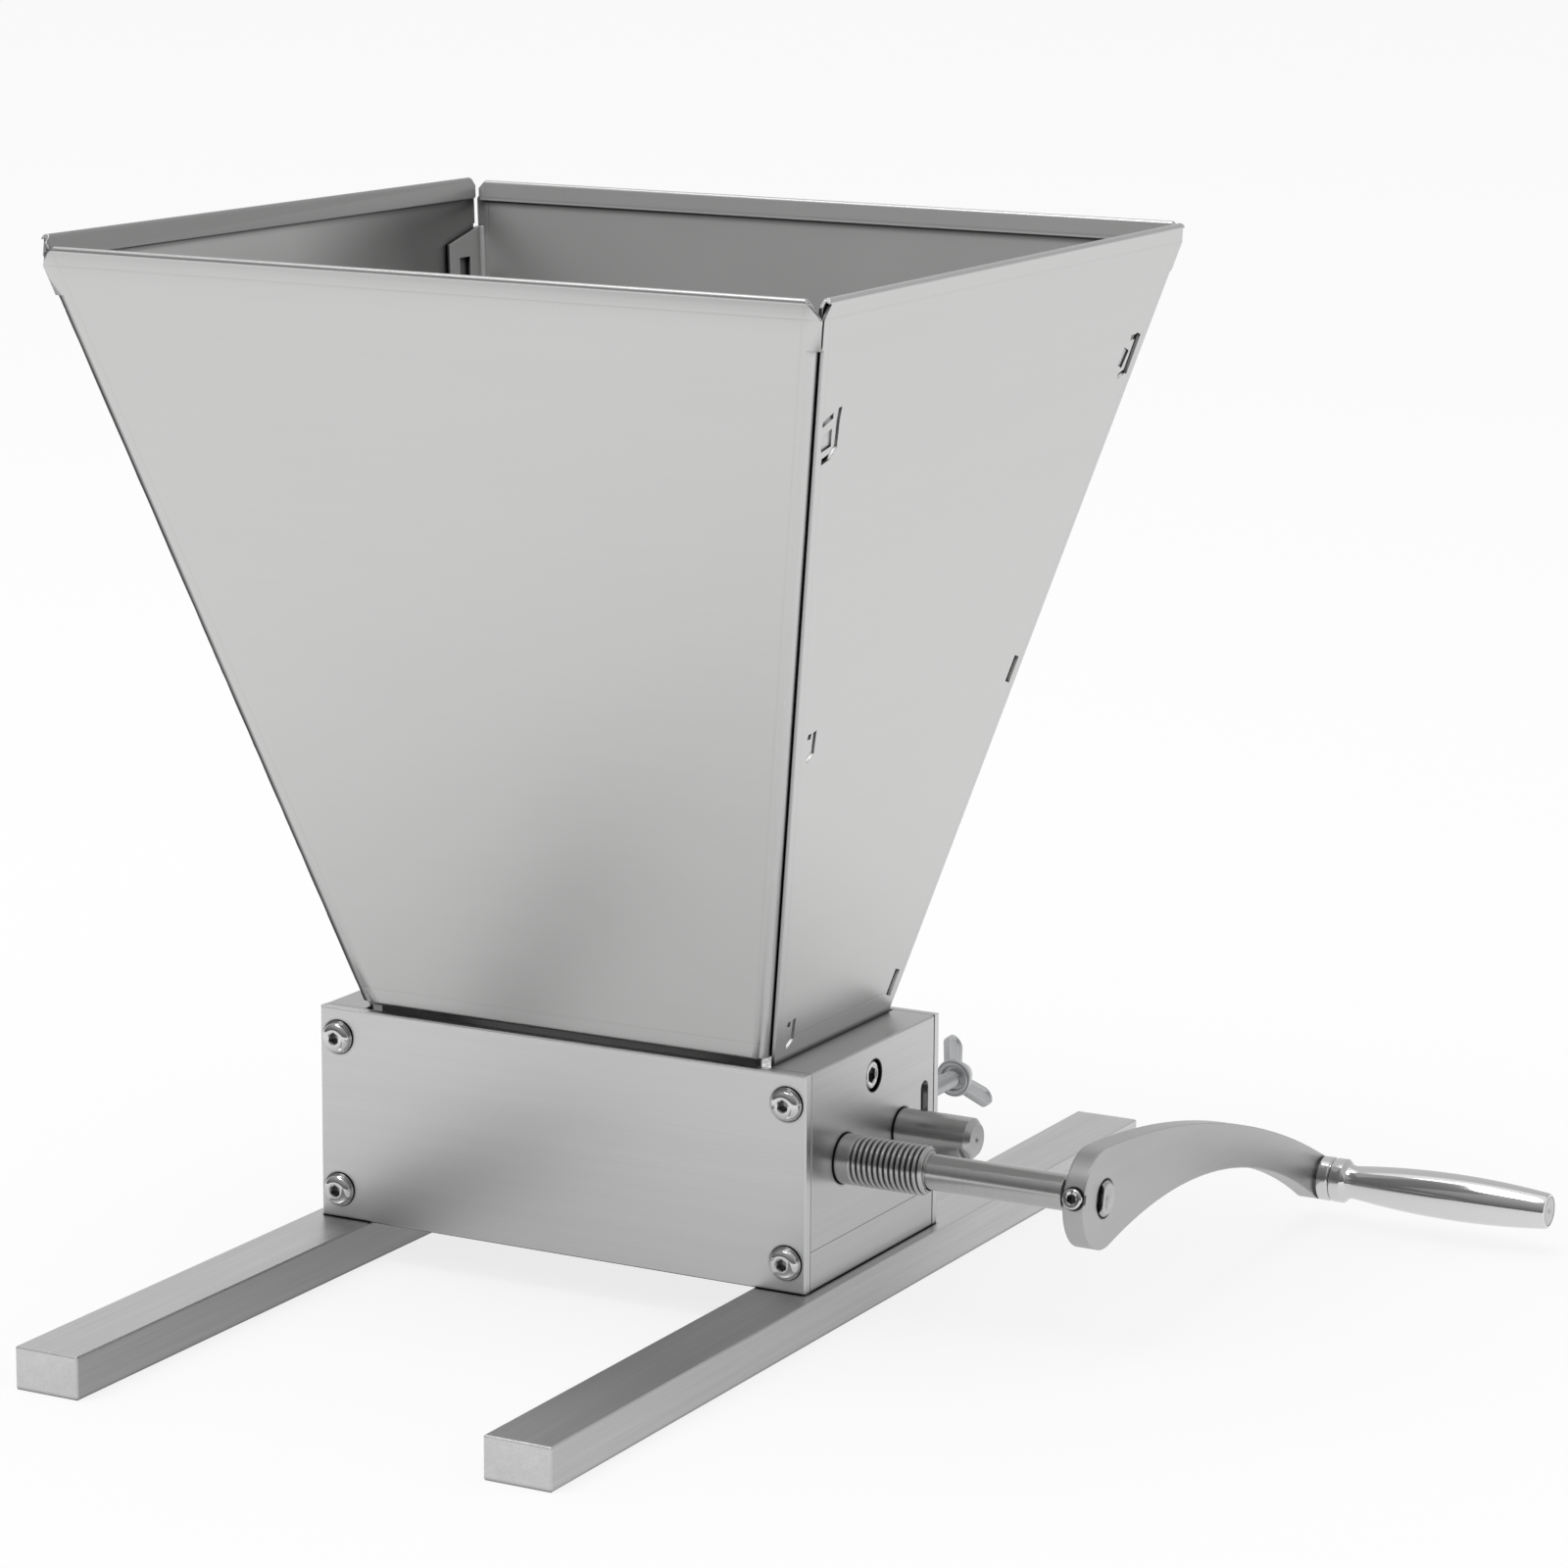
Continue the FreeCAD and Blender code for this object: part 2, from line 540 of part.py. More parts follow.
def wing_screw(side):
    """Wing screw from the back that presses on the gap shaft's journal."""
    low = LOCK_HEIGHT - SCREW_R
    tip = GAP_Y + math.sqrt((JOURNAL_D / 2) ** 2 - low ** 2) + LOCK_TIP_GAP
    hub = PLATE_Y + WING_SHANK_OUT
    hub_r = WING_HUB_D / 2
    end = hub + WING_HUB_LENGTH
    origin = (side * PLATE_SCREW_X, 0, LOCK_Z)
    start, steps = lines([
        (tip, 0), (tip, SCREW_R), (hub, SCREW_R), (hub, hub_r), (end - WING_HUB_BEVEL, hub_r),
        (end, hub_r - WING_HUB_BEVEL), (end, 0),
    ])
    screw = turned(start, steps, origin, ALONG_Y)
    root = (hub_r - WING_ROOT_R, (hub + end) / 2)
    tip_centre = (WING_REACH - WING_TIP_R, (hub + end) / 2 + WING_LEAN)
    outline, outline_steps = capsule(root, WING_ROOT_R, tip_centre, WING_TIP_R)
    for turn in (WING_TURN, WING_TURN + 180):
        ear = face_of(outline, outline_steps, lambda point: Vector(point[0], point[1], -WING_THICK / 2))
        ear = ear.extrude(ALONG_Z * WING_THICK)
        ear.rotate(Vector(), ALONG_Y, -turn)
        ear.translate(Vector(*origin))
        screw = screw.fuse(ear)
    return screw.removeSplitter()


def crank_outline():
    """Outline of the crank arm: two round eyes, and an arc above and below that touches both."""
    def touching(hub_reach, tip_reach):
        along = (hub_reach ** 2 - tip_reach ** 2 + CRANK_THROW ** 2) / (2 * CRANK_THROW)
        return along, -math.sqrt(hub_reach ** 2 - along ** 2)

    def towards(start, end, length):
        share = length / math.dist(start, end)
        return start[0] + (end[0] - start[0]) * share, start[1] + (end[1] - start[1]) * share

    hub = (0, 0)
    tip = (CRANK_THROW, 0)
    upper = touching(CRANK_UPPER_R - CRANK_HUB_R, CRANK_UPPER_R - CRANK_TIP_R)
    lower = touching(CRANK_LOWER_R + CRANK_HUB_R, CRANK_LOWER_R + CRANK_TIP_R)
    start = towards(hub, upper, -CRANK_HUB_R)
    return start, [
        ((upper[0], upper[1] + CRANK_UPPER_R), towards(tip, upper, -CRANK_TIP_R)),
        ((CRANK_THROW + CRANK_TIP_R, 0), towards(tip, lower, CRANK_TIP_R)),
        ((lower[0], lower[1] + CRANK_LOWER_R), towards(hub, lower, CRANK_HUB_R)),
        ((-CRANK_HUB_R, 0), start),
    ]


def crank_arm():
    """Curved flat arm with a bore that has a flat side, a set screw hole and the spindle's hole."""
    start, steps = crank_outline()
    section = face_of(start, steps, lambda point: Vector(CRANK_BACK, point[0], point[1]))
    arm = section.extrude(ALONG_X * CRANK_THICK)
    bore_r = CRANK_SEAT_D / 2 + CRANK_BORE_CLEAR
    bore = rod((CRANK_BACK, 0, 0), ALONG_X, CRANK_THICK, bore_r)
    bore = bore.cut(box(
        (CRANK_BACK, -2 * bore_r, -bore_r), (CRANK_FRONT, CRANK_BORE_FLAT_INSET - bore_r, bore_r)))
    middle = CRANK_BACK + CRANK_THICK / 2
    arm = arm.cut(bore)
    arm = arm.cut(rod((middle, -CRANK_HUB_R - CUT_OVER, 0), ALONG_Y, CRANK_HUB_R, SCREW_R + FIT_CLEAR))
    arm = arm.cut(spindle_tail(FIT_CLEAR))
    return in_crank_frame(arm)


def spindle_tail(margin):
    """Spindle's end in the arm, widened at the back; a margin gives its hole."""
    shank = SPINDLE_D / 2 + margin
    head = SPINDLE_HEAD_D / 2 + margin
    start, steps = lines([
        (0, 0), (0, head), (head - shank, shank), (CRANK_THICK, shank), (CRANK_THICK, 0),
    ])
    return turned(start, steps, (CRANK_BACK, CRANK_THROW, 0))


def crank_set_screw():
    """Headless screw in the hub's edge that bears on the shaft's flat."""
    outer = CRANK_HUB_R + SET_SCREW_PROUD
    inner = CRANK_SEAT_D / 2 - CRANK_FLAT_INSET + FIT_CLEAR
    start, steps = lines([
        (inner, 0), (inner, SCREW_R), (outer - EDGE_BREAK, SCREW_R),
        (outer, SCREW_R - EDGE_BREAK), (outer, 0),
    ])
    origin = (CRANK_BACK + CRANK_THICK / 2, 0, 0)
    screw = turned(start, steps, origin, -ALONG_Y)
    return in_crank_frame(screw.cut(hexagon(SET_SOCKET, origin, -ALONG_Y, outer - SOCKET_DEPTH, outer)))


def handle_spindle():
    """Fixed spindle of the handle: collar on the arm and a pin inside the grip."""
    pin = SPINDLE_D / 2
    collar = COLLAR_D / 2
    groove = collar - COLLAR_GROOVE_DEPTH
    end = COLLAR_LENGTH + GRIP_GAP + GRIP_LENGTH - PLUG_LENGTH - END_PLAY
    start, steps = lines([
        (0, 0), (0, groove), (COLLAR_GROOVE, groove), (COLLAR_GROOVE, collar),
        (COLLAR_LENGTH, collar), (COLLAR_LENGTH, pin), (end, pin), (end, 0),
    ])
    spindle = turned(start, steps, (CRANK_FRONT, HANDLE_Y, HANDLE_Z))
    return spindle.fuse(in_crank_frame(spindle_tail(0))).removeSplitter()


def handle_grip():
    """Revolving grip: a rim, a neck and a long belly, bored for the spindle and the end plug."""
    bore = SPINDLE_D / 2 + RUN_CLEAR
    rim = GRIP_RIM_D / 2
    end = GRIP_END_D / 2
    plug = PLUG_D / 2 + FIT_CLEAR
    plug_start = GRIP_LENGTH - PLUG_LENGTH
    belly = Part.Arc(
        Vector(GRIP_NECK_AT, GRIP_NECK_D / 2), Vector(GRIP_BELLY_AT, GRIP_BELLY_D / 2),
        Vector(GRIP_LENGTH - GRIP_ROUND, end)).toShape()
    start, steps = lines(
        [(0, bore), (0, rim - GRIP_ROUND), (GRIP_ROUND, rim), (GRIP_RIM_LENGTH, rim)]
        + [(point.x, point.y) for point in belly.discretize(GRIP_STEPS + 1)]
        + [(GRIP_LENGTH, end - GRIP_ROUND), (GRIP_LENGTH, plug), (plug_start, plug), (plug_start, bore)])
    return turned(start, steps, (CRANK_FRONT + COLLAR_LENGTH + GRIP_GAP, HANDLE_Y, HANDLE_Z))


def grip_end_plug():
    """Disc that closes the grip."""
    end = CRANK_FRONT + COLLAR_LENGTH + GRIP_GAP + GRIP_LENGTH
    return rod((end - PLUG_LENGTH, HANDLE_Y, HANDLE_Z), ALONG_X, PLUG_LENGTH, PLUG_D / 2)


def facing_right(outward, across, z):
    """Point of the right panel, from its distance out, its place along the panel and its height."""
    return Vector(outward, across, z)


def facing_left(outward, across, z):
    """The same for the left panel."""
    return Vector(-outward, across, z)


def facing_front(outward, across, z):
    """The same for the front panel."""
    return Vector(across, -outward, z)


def facing_back(outward, across, z):
    """The same for the back panel."""
    return Vector(across, outward, z)


def half_width(z):
    """Half of the hopper's outside width at a height."""
    return HALF_WIDTH + (z - BEND_Z) * math.tan(SIDE_LEAN)


def half_depth(z):
    """Half of the hopper's outside depth at a height."""
    return HALF_DEPTH + (z - BEND_Z) * math.tan(FRONT_LEAN)


def run_across(section, place):
    """Run a section of (outward, height) along its panel, well past both ends."""
    start, steps = section
    face = face_of(start, steps, lambda point: place(point[0], -REACH, point[1]))
    return face.extrude(place(0, REACH, 0) - place(0, -REACH, 0))


def run_outward(view, place):
    """Run an outline of (across, height), in a panel's own view, outwards from the hopper's middle."""
    start, steps = view
    face = face_of(start, steps, lambda point: place(0, point[0], point[1]))
    return face.extrude(place(REACH, 0, 0) - place(0, 0, 0))


def on_sheet(half, lean, along, depth):
    """Point (outward, height) at a length up the sheet from the bend and a depth inside its face."""
    outward = half + along * math.sin(lean) - depth * math.cos(lean)
    return outward, BEND_Z + along * math.cos(lean) + depth * math.sin(lean)


def fold_start(lean):
    """Length up the sheet at which the hem's fold begins, so that its top touches the rim's height."""
    return (RIM_Z - BEND_Z - FOLD_R * (1 + math.sin(lean))) / math.cos(lean)


def wall_section(half, lean):
    """Sloping side wall with its upright skirt below."""
    top = fold_start(lean)
    inner_bend = -SHEET * math.tan(lean / 2)
    foot = BEND_Z - SIDE_SKIRT
    return lines([
        (half, BEND_Z), on_sheet(half, lean, top, 0), on_sheet(half, lean, top, SHEET),
        on_sheet(half, lean, inner_bend, SHEET), (half - SHEET, foot), (half, foot),
    ])


def lipped_section(half, lean):
    """Sloping front or back wall, turned inwards as a lip at its lower edge and down as a skirt."""
    top = fold_start(lean)
    foot = BEND_Z - PLATE_SKIRT
    skirt = half - SKIRT_INSET
    edge = half + (LIP_Z - BEND_Z) * math.tan(lean)
    reach = LIP_R / math.tan((math.pi / 2 + lean) / 2)
    turn = -(math.pi / 2 + lean) / 2
    on_arc = (edge - reach + LIP_R * math.cos(turn), LIP_Z + LIP_R + LIP_R * math.sin(turn))
    on_wall = (edge + reach * math.sin(lean), LIP_Z + reach * math.cos(lean))
    inner_edge = edge + SHEET * math.tan(lean) - SHEET / math.cos(lean)
    return (skirt, foot), [
        ((skirt, LIP_Z),), ((edge - reach, LIP_Z),), (on_arc, on_wall),
        (on_sheet(half, lean, top, 0),), (on_sheet(half, lean, top, SHEET),),
        ((inner_edge, LIP_Z + SHEET),), ((skirt - SHEET, LIP_Z + SHEET),), ((skirt - SHEET, foot),),
    ]


def hem_section(half, lean):
    """Hem: the sheet folded inwards at the rim and down again."""
    top = fold_start(lean)
    low = top + FOLD_R - HEM_LENGTH
    far = 2 * FOLD_R
    return on_sheet(half, lean, top, 0), [
        (on_sheet(half, lean, top + FOLD_R, FOLD_R), on_sheet(half, lean, top, far)),
        (on_sheet(half, lean, low, far),),
        (on_sheet(half, lean, low, far - SHEET),),
        (on_sheet(half, lean, top, far - SHEET),),
        (on_sheet(half, lean, top + FOLD_R - SHEET, FOLD_R), on_sheet(half, lean, top, SHEET)),
    ]


def both_sides(right):
    """Outline from its right side, given from the bottom up, and the left side that mirrors it."""
    return lines(right + [(-across, z) for across, z in reversed(right)])


def hem_view(half_at):
    """Panel's view of its hem, with cut corners at both ends."""
    low = RIM_Z - HEM_LENGTH
    rows = [
        (low - CUT_OVER, HEM_INSET + HEM_FOOT_CUT), (low, HEM_INSET + HEM_FOOT_CUT),
        (low + HEM_FOOT_CUT, HEM_INSET), (RIM_Z - HEM_TOP_CUT, HEM_INSET),
        (RIM_Z + CUT_OVER, HEM_INSET + HEM_TOP_CUT + CUT_OVER),
    ]
    return both_sides([(half_at(z) - inset, z) for z, inset in rows])


def wall_view(half_at, foot, bend_inset, ear_inset):
    """Panel's view of its wall: a foot of (across, height) points, room for upright bends, then ears."""
    foot_top = foot[-1][1]
    cut_low = RIM_Z - RIM_CUT_DROP
    rows = [
        (foot_top, bend_inset), (FLANGE_HIGH, bend_inset), (FLANGE_HIGH, ear_inset),
        (cut_low, ear_inset), (RIM_Z, ear_inset + RIM_CUT),
    ]
    return both_sides(foot + [(half_at(z) - inset, z) for z, inset in rows])


def tapered_block(inset_x, inset_y, low, high, corner_r):
    """Block that follows the hopper's outside between two heights, with rounded upright corners."""
    loops = []
    for z in (low, high):
        x = half_width(z) - inset_x
        y = half_depth(z) - inset_y
        loops.append(Part.makePolygon([
            Vector(-x, -y, z), Vector(x, -y, z), Vector(x, y, z), Vector(-x, y, z), Vector(-x, -y, z)]))
    block = Part.makeLoft(loops, True, True)
    upright = [edge for edge in block.Edges if edge.BoundBox.ZLength > (high - low) / 2]
    return block.makeFillet(corner_r, upright)


def bends_and_flanges(place):
    """Front or back wall with its upright bends and the flanges that lie inside the side panels."""
    low = LIP_Z + BEND_RISE
    free_high = FLANGE_HIGH - FLANGE_TOP_SLOPE
    ring = tapered_block(FLANGE_INSET, 0, low, FLANGE_HIGH, CORNER_R)
    ring = ring.cut(tapered_block(FLANGE_INSET + SIDE_STEP, FRONT_STEP, low, FLANGE_HIGH, CORNER_R - SHEET))
    rows = [
        (low, -FLANGE_WIDTH), (low, CUT_OVER), (FLANGE_HIGH, CUT_OVER),
        (FLANGE_HIGH, -CORNER_R), (free_high, -FLANGE_WIDTH),
    ]
    return ring.common(run_across(lines([(half_depth(z) + out, z) for z, out in rows]), place))


def hook_levels():
    """Heights of the hooks, from the top down."""
    return RIM_Z - HOOK_TOP_LEVEL, RIM_Z - HOOK_MIDDLE_LEVEL, RIM_Z - HOOK_BOTTOM_LEVEL


def flange_windows(place):
    """Openings through both flanges of a panel, behind the hooks."""
    windows = []
    for level in hook_levels():
        middle = level + HOOK_WINDOW_RISE
        corners = []
        for z in (middle - HOOK_WINDOW_HEIGHT / 2, middle + HOOK_WINDOW_HEIGHT / 2):
            outer = half_depth(z) - HOOK_WINDOW_INSET
            corners.append([(outer - HOOK_WINDOW_WIDTH, z), (outer, z)])
        windows.append(run_across(lines(corners[0] + corners[1][::-1]), place))
    return windows


def end_panel(place, ear_inset):
    """Front or back panel of the hopper."""
    foot_half = half_width(LIP_Z) - FLANGE_INSET - CORNER_R
    foot = [
        (foot_half - LIP_CORNER_CUT, BEND_Z - PLATE_SKIRT - CUT_OVER), (foot_half - LIP_CORNER_CUT, LIP_Z),
        (foot_half, LIP_Z + LIP_CORNER_CUT), (foot_half, LIP_Z + BEND_RISE),
    ]
    view = wall_view(half_width, foot, FLANGE_INSET + 2 * CORNER_R, ear_inset)
    wall = run_across(lipped_section(HALF_DEPTH, FRONT_LEAN), place).common(run_outward(view, place))
    hem = run_across(hem_section(HALF_DEPTH, FRONT_LEAN), place)
    hem = hem.common(run_outward(hem_view(half_width), place))
    panel = wall.fuse([hem, bends_and_flanges(place)])
    return panel.cut(flange_windows(place)).removeSplitter()


def hook_slots():
    """Slots beside a side panel's edges: (edge, width, points of (inset, height)); -1 is the front edge."""
    top, middle, bottom = hook_levels()
    front = HOOK_FRONT_INSET
    back = HOOK_BACK_INSET
    hook = [(3.1, 7.2), (2.3, 3.7), (1.8, -3.1), (-1.4, -5.7), (-5.5, -6.7)]
    small_hook = [(1.8, 3.7), (1.2, -2.4), (-1.9, -4.3)]
    slots = [
        (-1, HOOK_SLOT_WIDTH, around(front, top, hook)),
        (-1, HOOK_FLAG_WIDTH, around(front, top, [(-6.1, 3.4), (-0.5, 5.4)])),
        (1, HOOK_BACK_SLOT_WIDTH, around(back, top, [(0.6, 6.8), (0, -4.3)])),
        (1, HOOK_FLAG_WIDTH, around(back, top, [(5.2, 6.0), (0.6, 6.0)])),
        (1, HOOK_FLAG_WIDTH, around(back, top, [(0, -3.5), (4.2, -4.8)])),
    ]
    for level in (middle, bottom):
        slots.append((-1, HOOK_SLOT_WIDTH, around(front, level, small_hook)))
        slots.append((-1, HOOK_FLAG_WIDTH, around(front, level, [(-2.1, 2.6), (-0.3, 2.6)])))
        slots.append((1, HOOK_BACK_SLOT_WIDTH, around(back, level, [(0.1, 4.5), (0, -2.8)])))
    return slots


def hook_dimples():
    """Shallow pressed places inside the top hooks: (edge, points of (inset, height))."""
    top = hook_levels()[0]
    front = [(-4.7, 0.7), (-0.8, 1.9), (-0.8, -2.9), (-5.9, -4.0), (-6.2, -2.3)]
    back = [(7.1, 3.6), (3.3, 2.3), (3.9, -2.5), (7.3, -1.4)]
    return [(-1, around(HOOK_FRONT_INSET, top, front)), (1, around(HOOK_BACK_INSET, top, back))]


def around(inset, level, points):
    """Points of (inset, height) measured from a hook's own place."""
    return [(inset + across, level + rise) for across, rise in points]


def in_side_view(edge, points):
    """Points of (inset from an edge, height) as (across, height) in a side panel's view."""
    return [(edge * (half_depth(z) - inset), z) for inset, z in points]


def band(stroke, width):
    """Outline of a band of one width along a stroke, with mitred corners."""
    sides = ([], [])
    for index, point in enumerate(stroke):
        before = stroke[max(index - 1, 0)]
        after = stroke[min(index + 1, len(stroke) - 1)]
        turns = [math.atan2(end[1] - start[1], end[0] - start[0])
                 for start, end in ((before, point), (point, after)) if start != end]
        middle = sum(turns) / len(turns)
        reach = width / 2 / math.cos(middle - turns[0])
        offset = (-reach * math.sin(middle), reach * math.cos(middle))
        for side, sign in zip(sides, (1, -1)):
            side.append((point[0] + sign * offset[0], point[1] + sign * offset[1]))
    return lines(sides[0] + sides[1][::-1])


def outer_skin(depth, place):
    """Layer of a side panel's wall next to its outer face."""
    rows = [(BEND_Z, -depth), (BEND_Z, CUT_OVER), (RIM_Z, CUT_OVER), (RIM_Z, -depth)]
    return run_across(lines([(half_width(z) + out, z) for z, out in rows]), place)


def side_panel(place):
    """Left or right panel of the hopper, with its skirt, hem, hook slots and dimples."""
    skirt_half = HALF_DEPTH - SIDE_PANEL_INSET
    foot = [(skirt_half, BEND_Z - SIDE_SKIRT - CUT_OVER), (skirt_half, BEND_Z)]
    view = wall_view(half_depth, foot, SIDE_PANEL_INSET, SIDE_EAR_INSET)
    wall = run_across(wall_section(HALF_WIDTH, SIDE_LEAN), place).common(run_outward(view, place))
    hem = run_across(hem_section(HALF_WIDTH, SIDE_LEAN), place)
    hem = hem.common(run_outward(hem_view(half_depth), place))
    cutters = [rod((0, 0, FIXING_Z), place(1, 0, 0), OPENING_X, SCREW_R + BOLT_CLEAR)]
    for edge, width, points in hook_slots():
        cutters.append(run_outward(band(in_side_view(edge, points), width), place))
    skin = outer_skin(HOOK_DIMPLE_DEPTH, place)
    for edge, points in hook_dimples():
        cutters.append(skin.common(run_outward(lines(in_side_view(edge, points)), place)))
    return wall.fuse(hem).cut(cutters).removeSplitter()


def build():
    """Every piece by its name."""
    block = end_block()
    return {
        "base_bar_left": base_bar(-1),
        "base_bar_right": base_bar(1),
        "base_bar_screws": base_bar_screws(),
        "end_block_left": mirrored(block),
        "end_block_right": block,
        "front_plate": body_plate(-1),
        "back_plate": body_plate(1),
        "front_plate_screws": plate_screws(-1),
        "back_plate_screws": plate_screws(1),
        "hopper_front_panel": end_panel(facing_front, 0),
        "hopper_back_panel": end_panel(facing_back, BACK_EAR_INSET),
        "hopper_left_panel": side_panel(facing_left),
        "hopper_right_panel": side_panel(facing_right),
        "hopper_fixing_screws": pair(hopper_fixing_screw()),
        "hopper_fixing_nuts": pair(hopper_fixing_nut()),
        "drive_bushes": pair(drive_bush()),
        "drive_shaft": drive_shaft(),
        "drive_roller": roller(DRIVE_Y, SHAFT_Z, DRIVE_D / 2 + FIT_CLEAR),
        "gap_shaft": gap_shaft(),
        "idle_roller": idle_roller(),
        "idle_bushes": pair(idle_bush()),
        "idle_washers": pair(idle_washer()),
        "lock_nuts": pair(lock_nut()),
        "wing_screw_left": wing_screw(-1),
        "wing_screw_right": wing_screw(1),
        "crank_arm": crank_arm(),
        "crank_set_screw": crank_set_screw(),
        "handle_spindle": handle_spindle(),
        "handle_grip": handle_grip(),
        "grip_end_plug": grip_end_plug(),
    }


os.makedirs("parts", exist_ok=True)
for name, shape in build().items():
    shape.exportStep(f"parts/{name}.step")
    print(name, len(shape.Solids), round(shape.Volume, 1), shape.isValid())
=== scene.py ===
"""Looks of a hand-cranked two-roller malt mill with a folded sheet hopper.

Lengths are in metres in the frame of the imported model: X runs along the rollers towards the crank, Y towards
the back and Z up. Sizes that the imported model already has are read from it.
"""

import json
import logging
import math
from dataclasses import dataclass
from enum import Enum

import bmesh
import bpy
from mathutils import Matrix, Vector

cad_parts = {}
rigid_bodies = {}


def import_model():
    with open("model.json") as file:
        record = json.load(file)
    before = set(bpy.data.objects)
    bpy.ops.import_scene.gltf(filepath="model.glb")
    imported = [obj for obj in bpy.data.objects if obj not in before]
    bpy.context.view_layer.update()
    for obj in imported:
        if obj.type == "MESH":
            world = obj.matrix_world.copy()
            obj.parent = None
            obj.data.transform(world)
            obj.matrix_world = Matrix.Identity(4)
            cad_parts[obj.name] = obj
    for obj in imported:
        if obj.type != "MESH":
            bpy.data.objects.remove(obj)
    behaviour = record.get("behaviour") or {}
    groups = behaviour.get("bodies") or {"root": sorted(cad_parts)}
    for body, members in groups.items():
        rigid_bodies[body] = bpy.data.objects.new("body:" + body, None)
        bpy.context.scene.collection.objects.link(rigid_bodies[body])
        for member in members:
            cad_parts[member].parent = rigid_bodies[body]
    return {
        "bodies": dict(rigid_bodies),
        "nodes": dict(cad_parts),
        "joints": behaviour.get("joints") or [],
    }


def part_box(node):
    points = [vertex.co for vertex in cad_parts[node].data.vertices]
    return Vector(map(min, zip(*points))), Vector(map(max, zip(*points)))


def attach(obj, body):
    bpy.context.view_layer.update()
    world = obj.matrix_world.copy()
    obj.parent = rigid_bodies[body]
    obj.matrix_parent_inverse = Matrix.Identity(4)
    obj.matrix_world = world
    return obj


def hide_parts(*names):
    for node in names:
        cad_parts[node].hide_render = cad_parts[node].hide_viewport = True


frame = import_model()

log = logging.getLogger("malt_mill")

Socket = bpy.types.NodeSocket
Shape = bmesh.types.BMesh

MM = 0.001
CREASE_ANGLE = math.radians(32)
WELD = 1e-6
BRIGHTEST = 0.97
WARM = (1.0, 0.998, 0.993)
COOL = (0.985, 0.993, 1.0)
WHITE = (1.0, 1.0, 1.0, 1.0)
SHADOW_SHADE = 0.06
ROUGH_SPREAD = 0.12
FINE_SEGMENTS = 96
SCREW_SEGMENTS = 48
MOUTH_SHARE = 0.62
# A thread's ridge: how deep its feet sink into the core, points of its flanks as (share of the pitch, drop
# as a share of the height), the share of the pitch where it ends, and the turns by which it stops short.
THREAD_SINK = 0.05 * MM
THREAD_FLANKS = ((0.14, 0.3), (0.27, 0.06), (0.41, 0.0), (0.55, 0.06), (0.68, 0.3))
THREAD_FOOT = 0.82
THREAD_STOP = 0.9
FLOAT = "NodeSocketFloat"
VECTOR = "NodeSocketVector"


class Lay(Enum):
    """Way a metal surface was worked: 1 marks an axis across the marks, 0 an axis that they follow."""

    STREAKS_X = (0, 1, 1)
    STREAKS_Y = (1, 0, 1)
    RINGS_X = (1, 0, 0)
    EVEN = (1, 1, 1)


class Body(Enum):
    """Bodies that pieces ride on."""

    FRAME = "frame"
    DRIVE = "drive"
    GRIP = "grip"
    IDLE = "idle"
    WING_LEFT = "wing_left"
    WING_RIGHT = "wing_right"


class Facing(Enum):
    """Pair of hopper walls, with the turn that brings its width onto X."""

    FRONT_BACK = 0.0
    LEFT_RIGHT = math.pi / 2


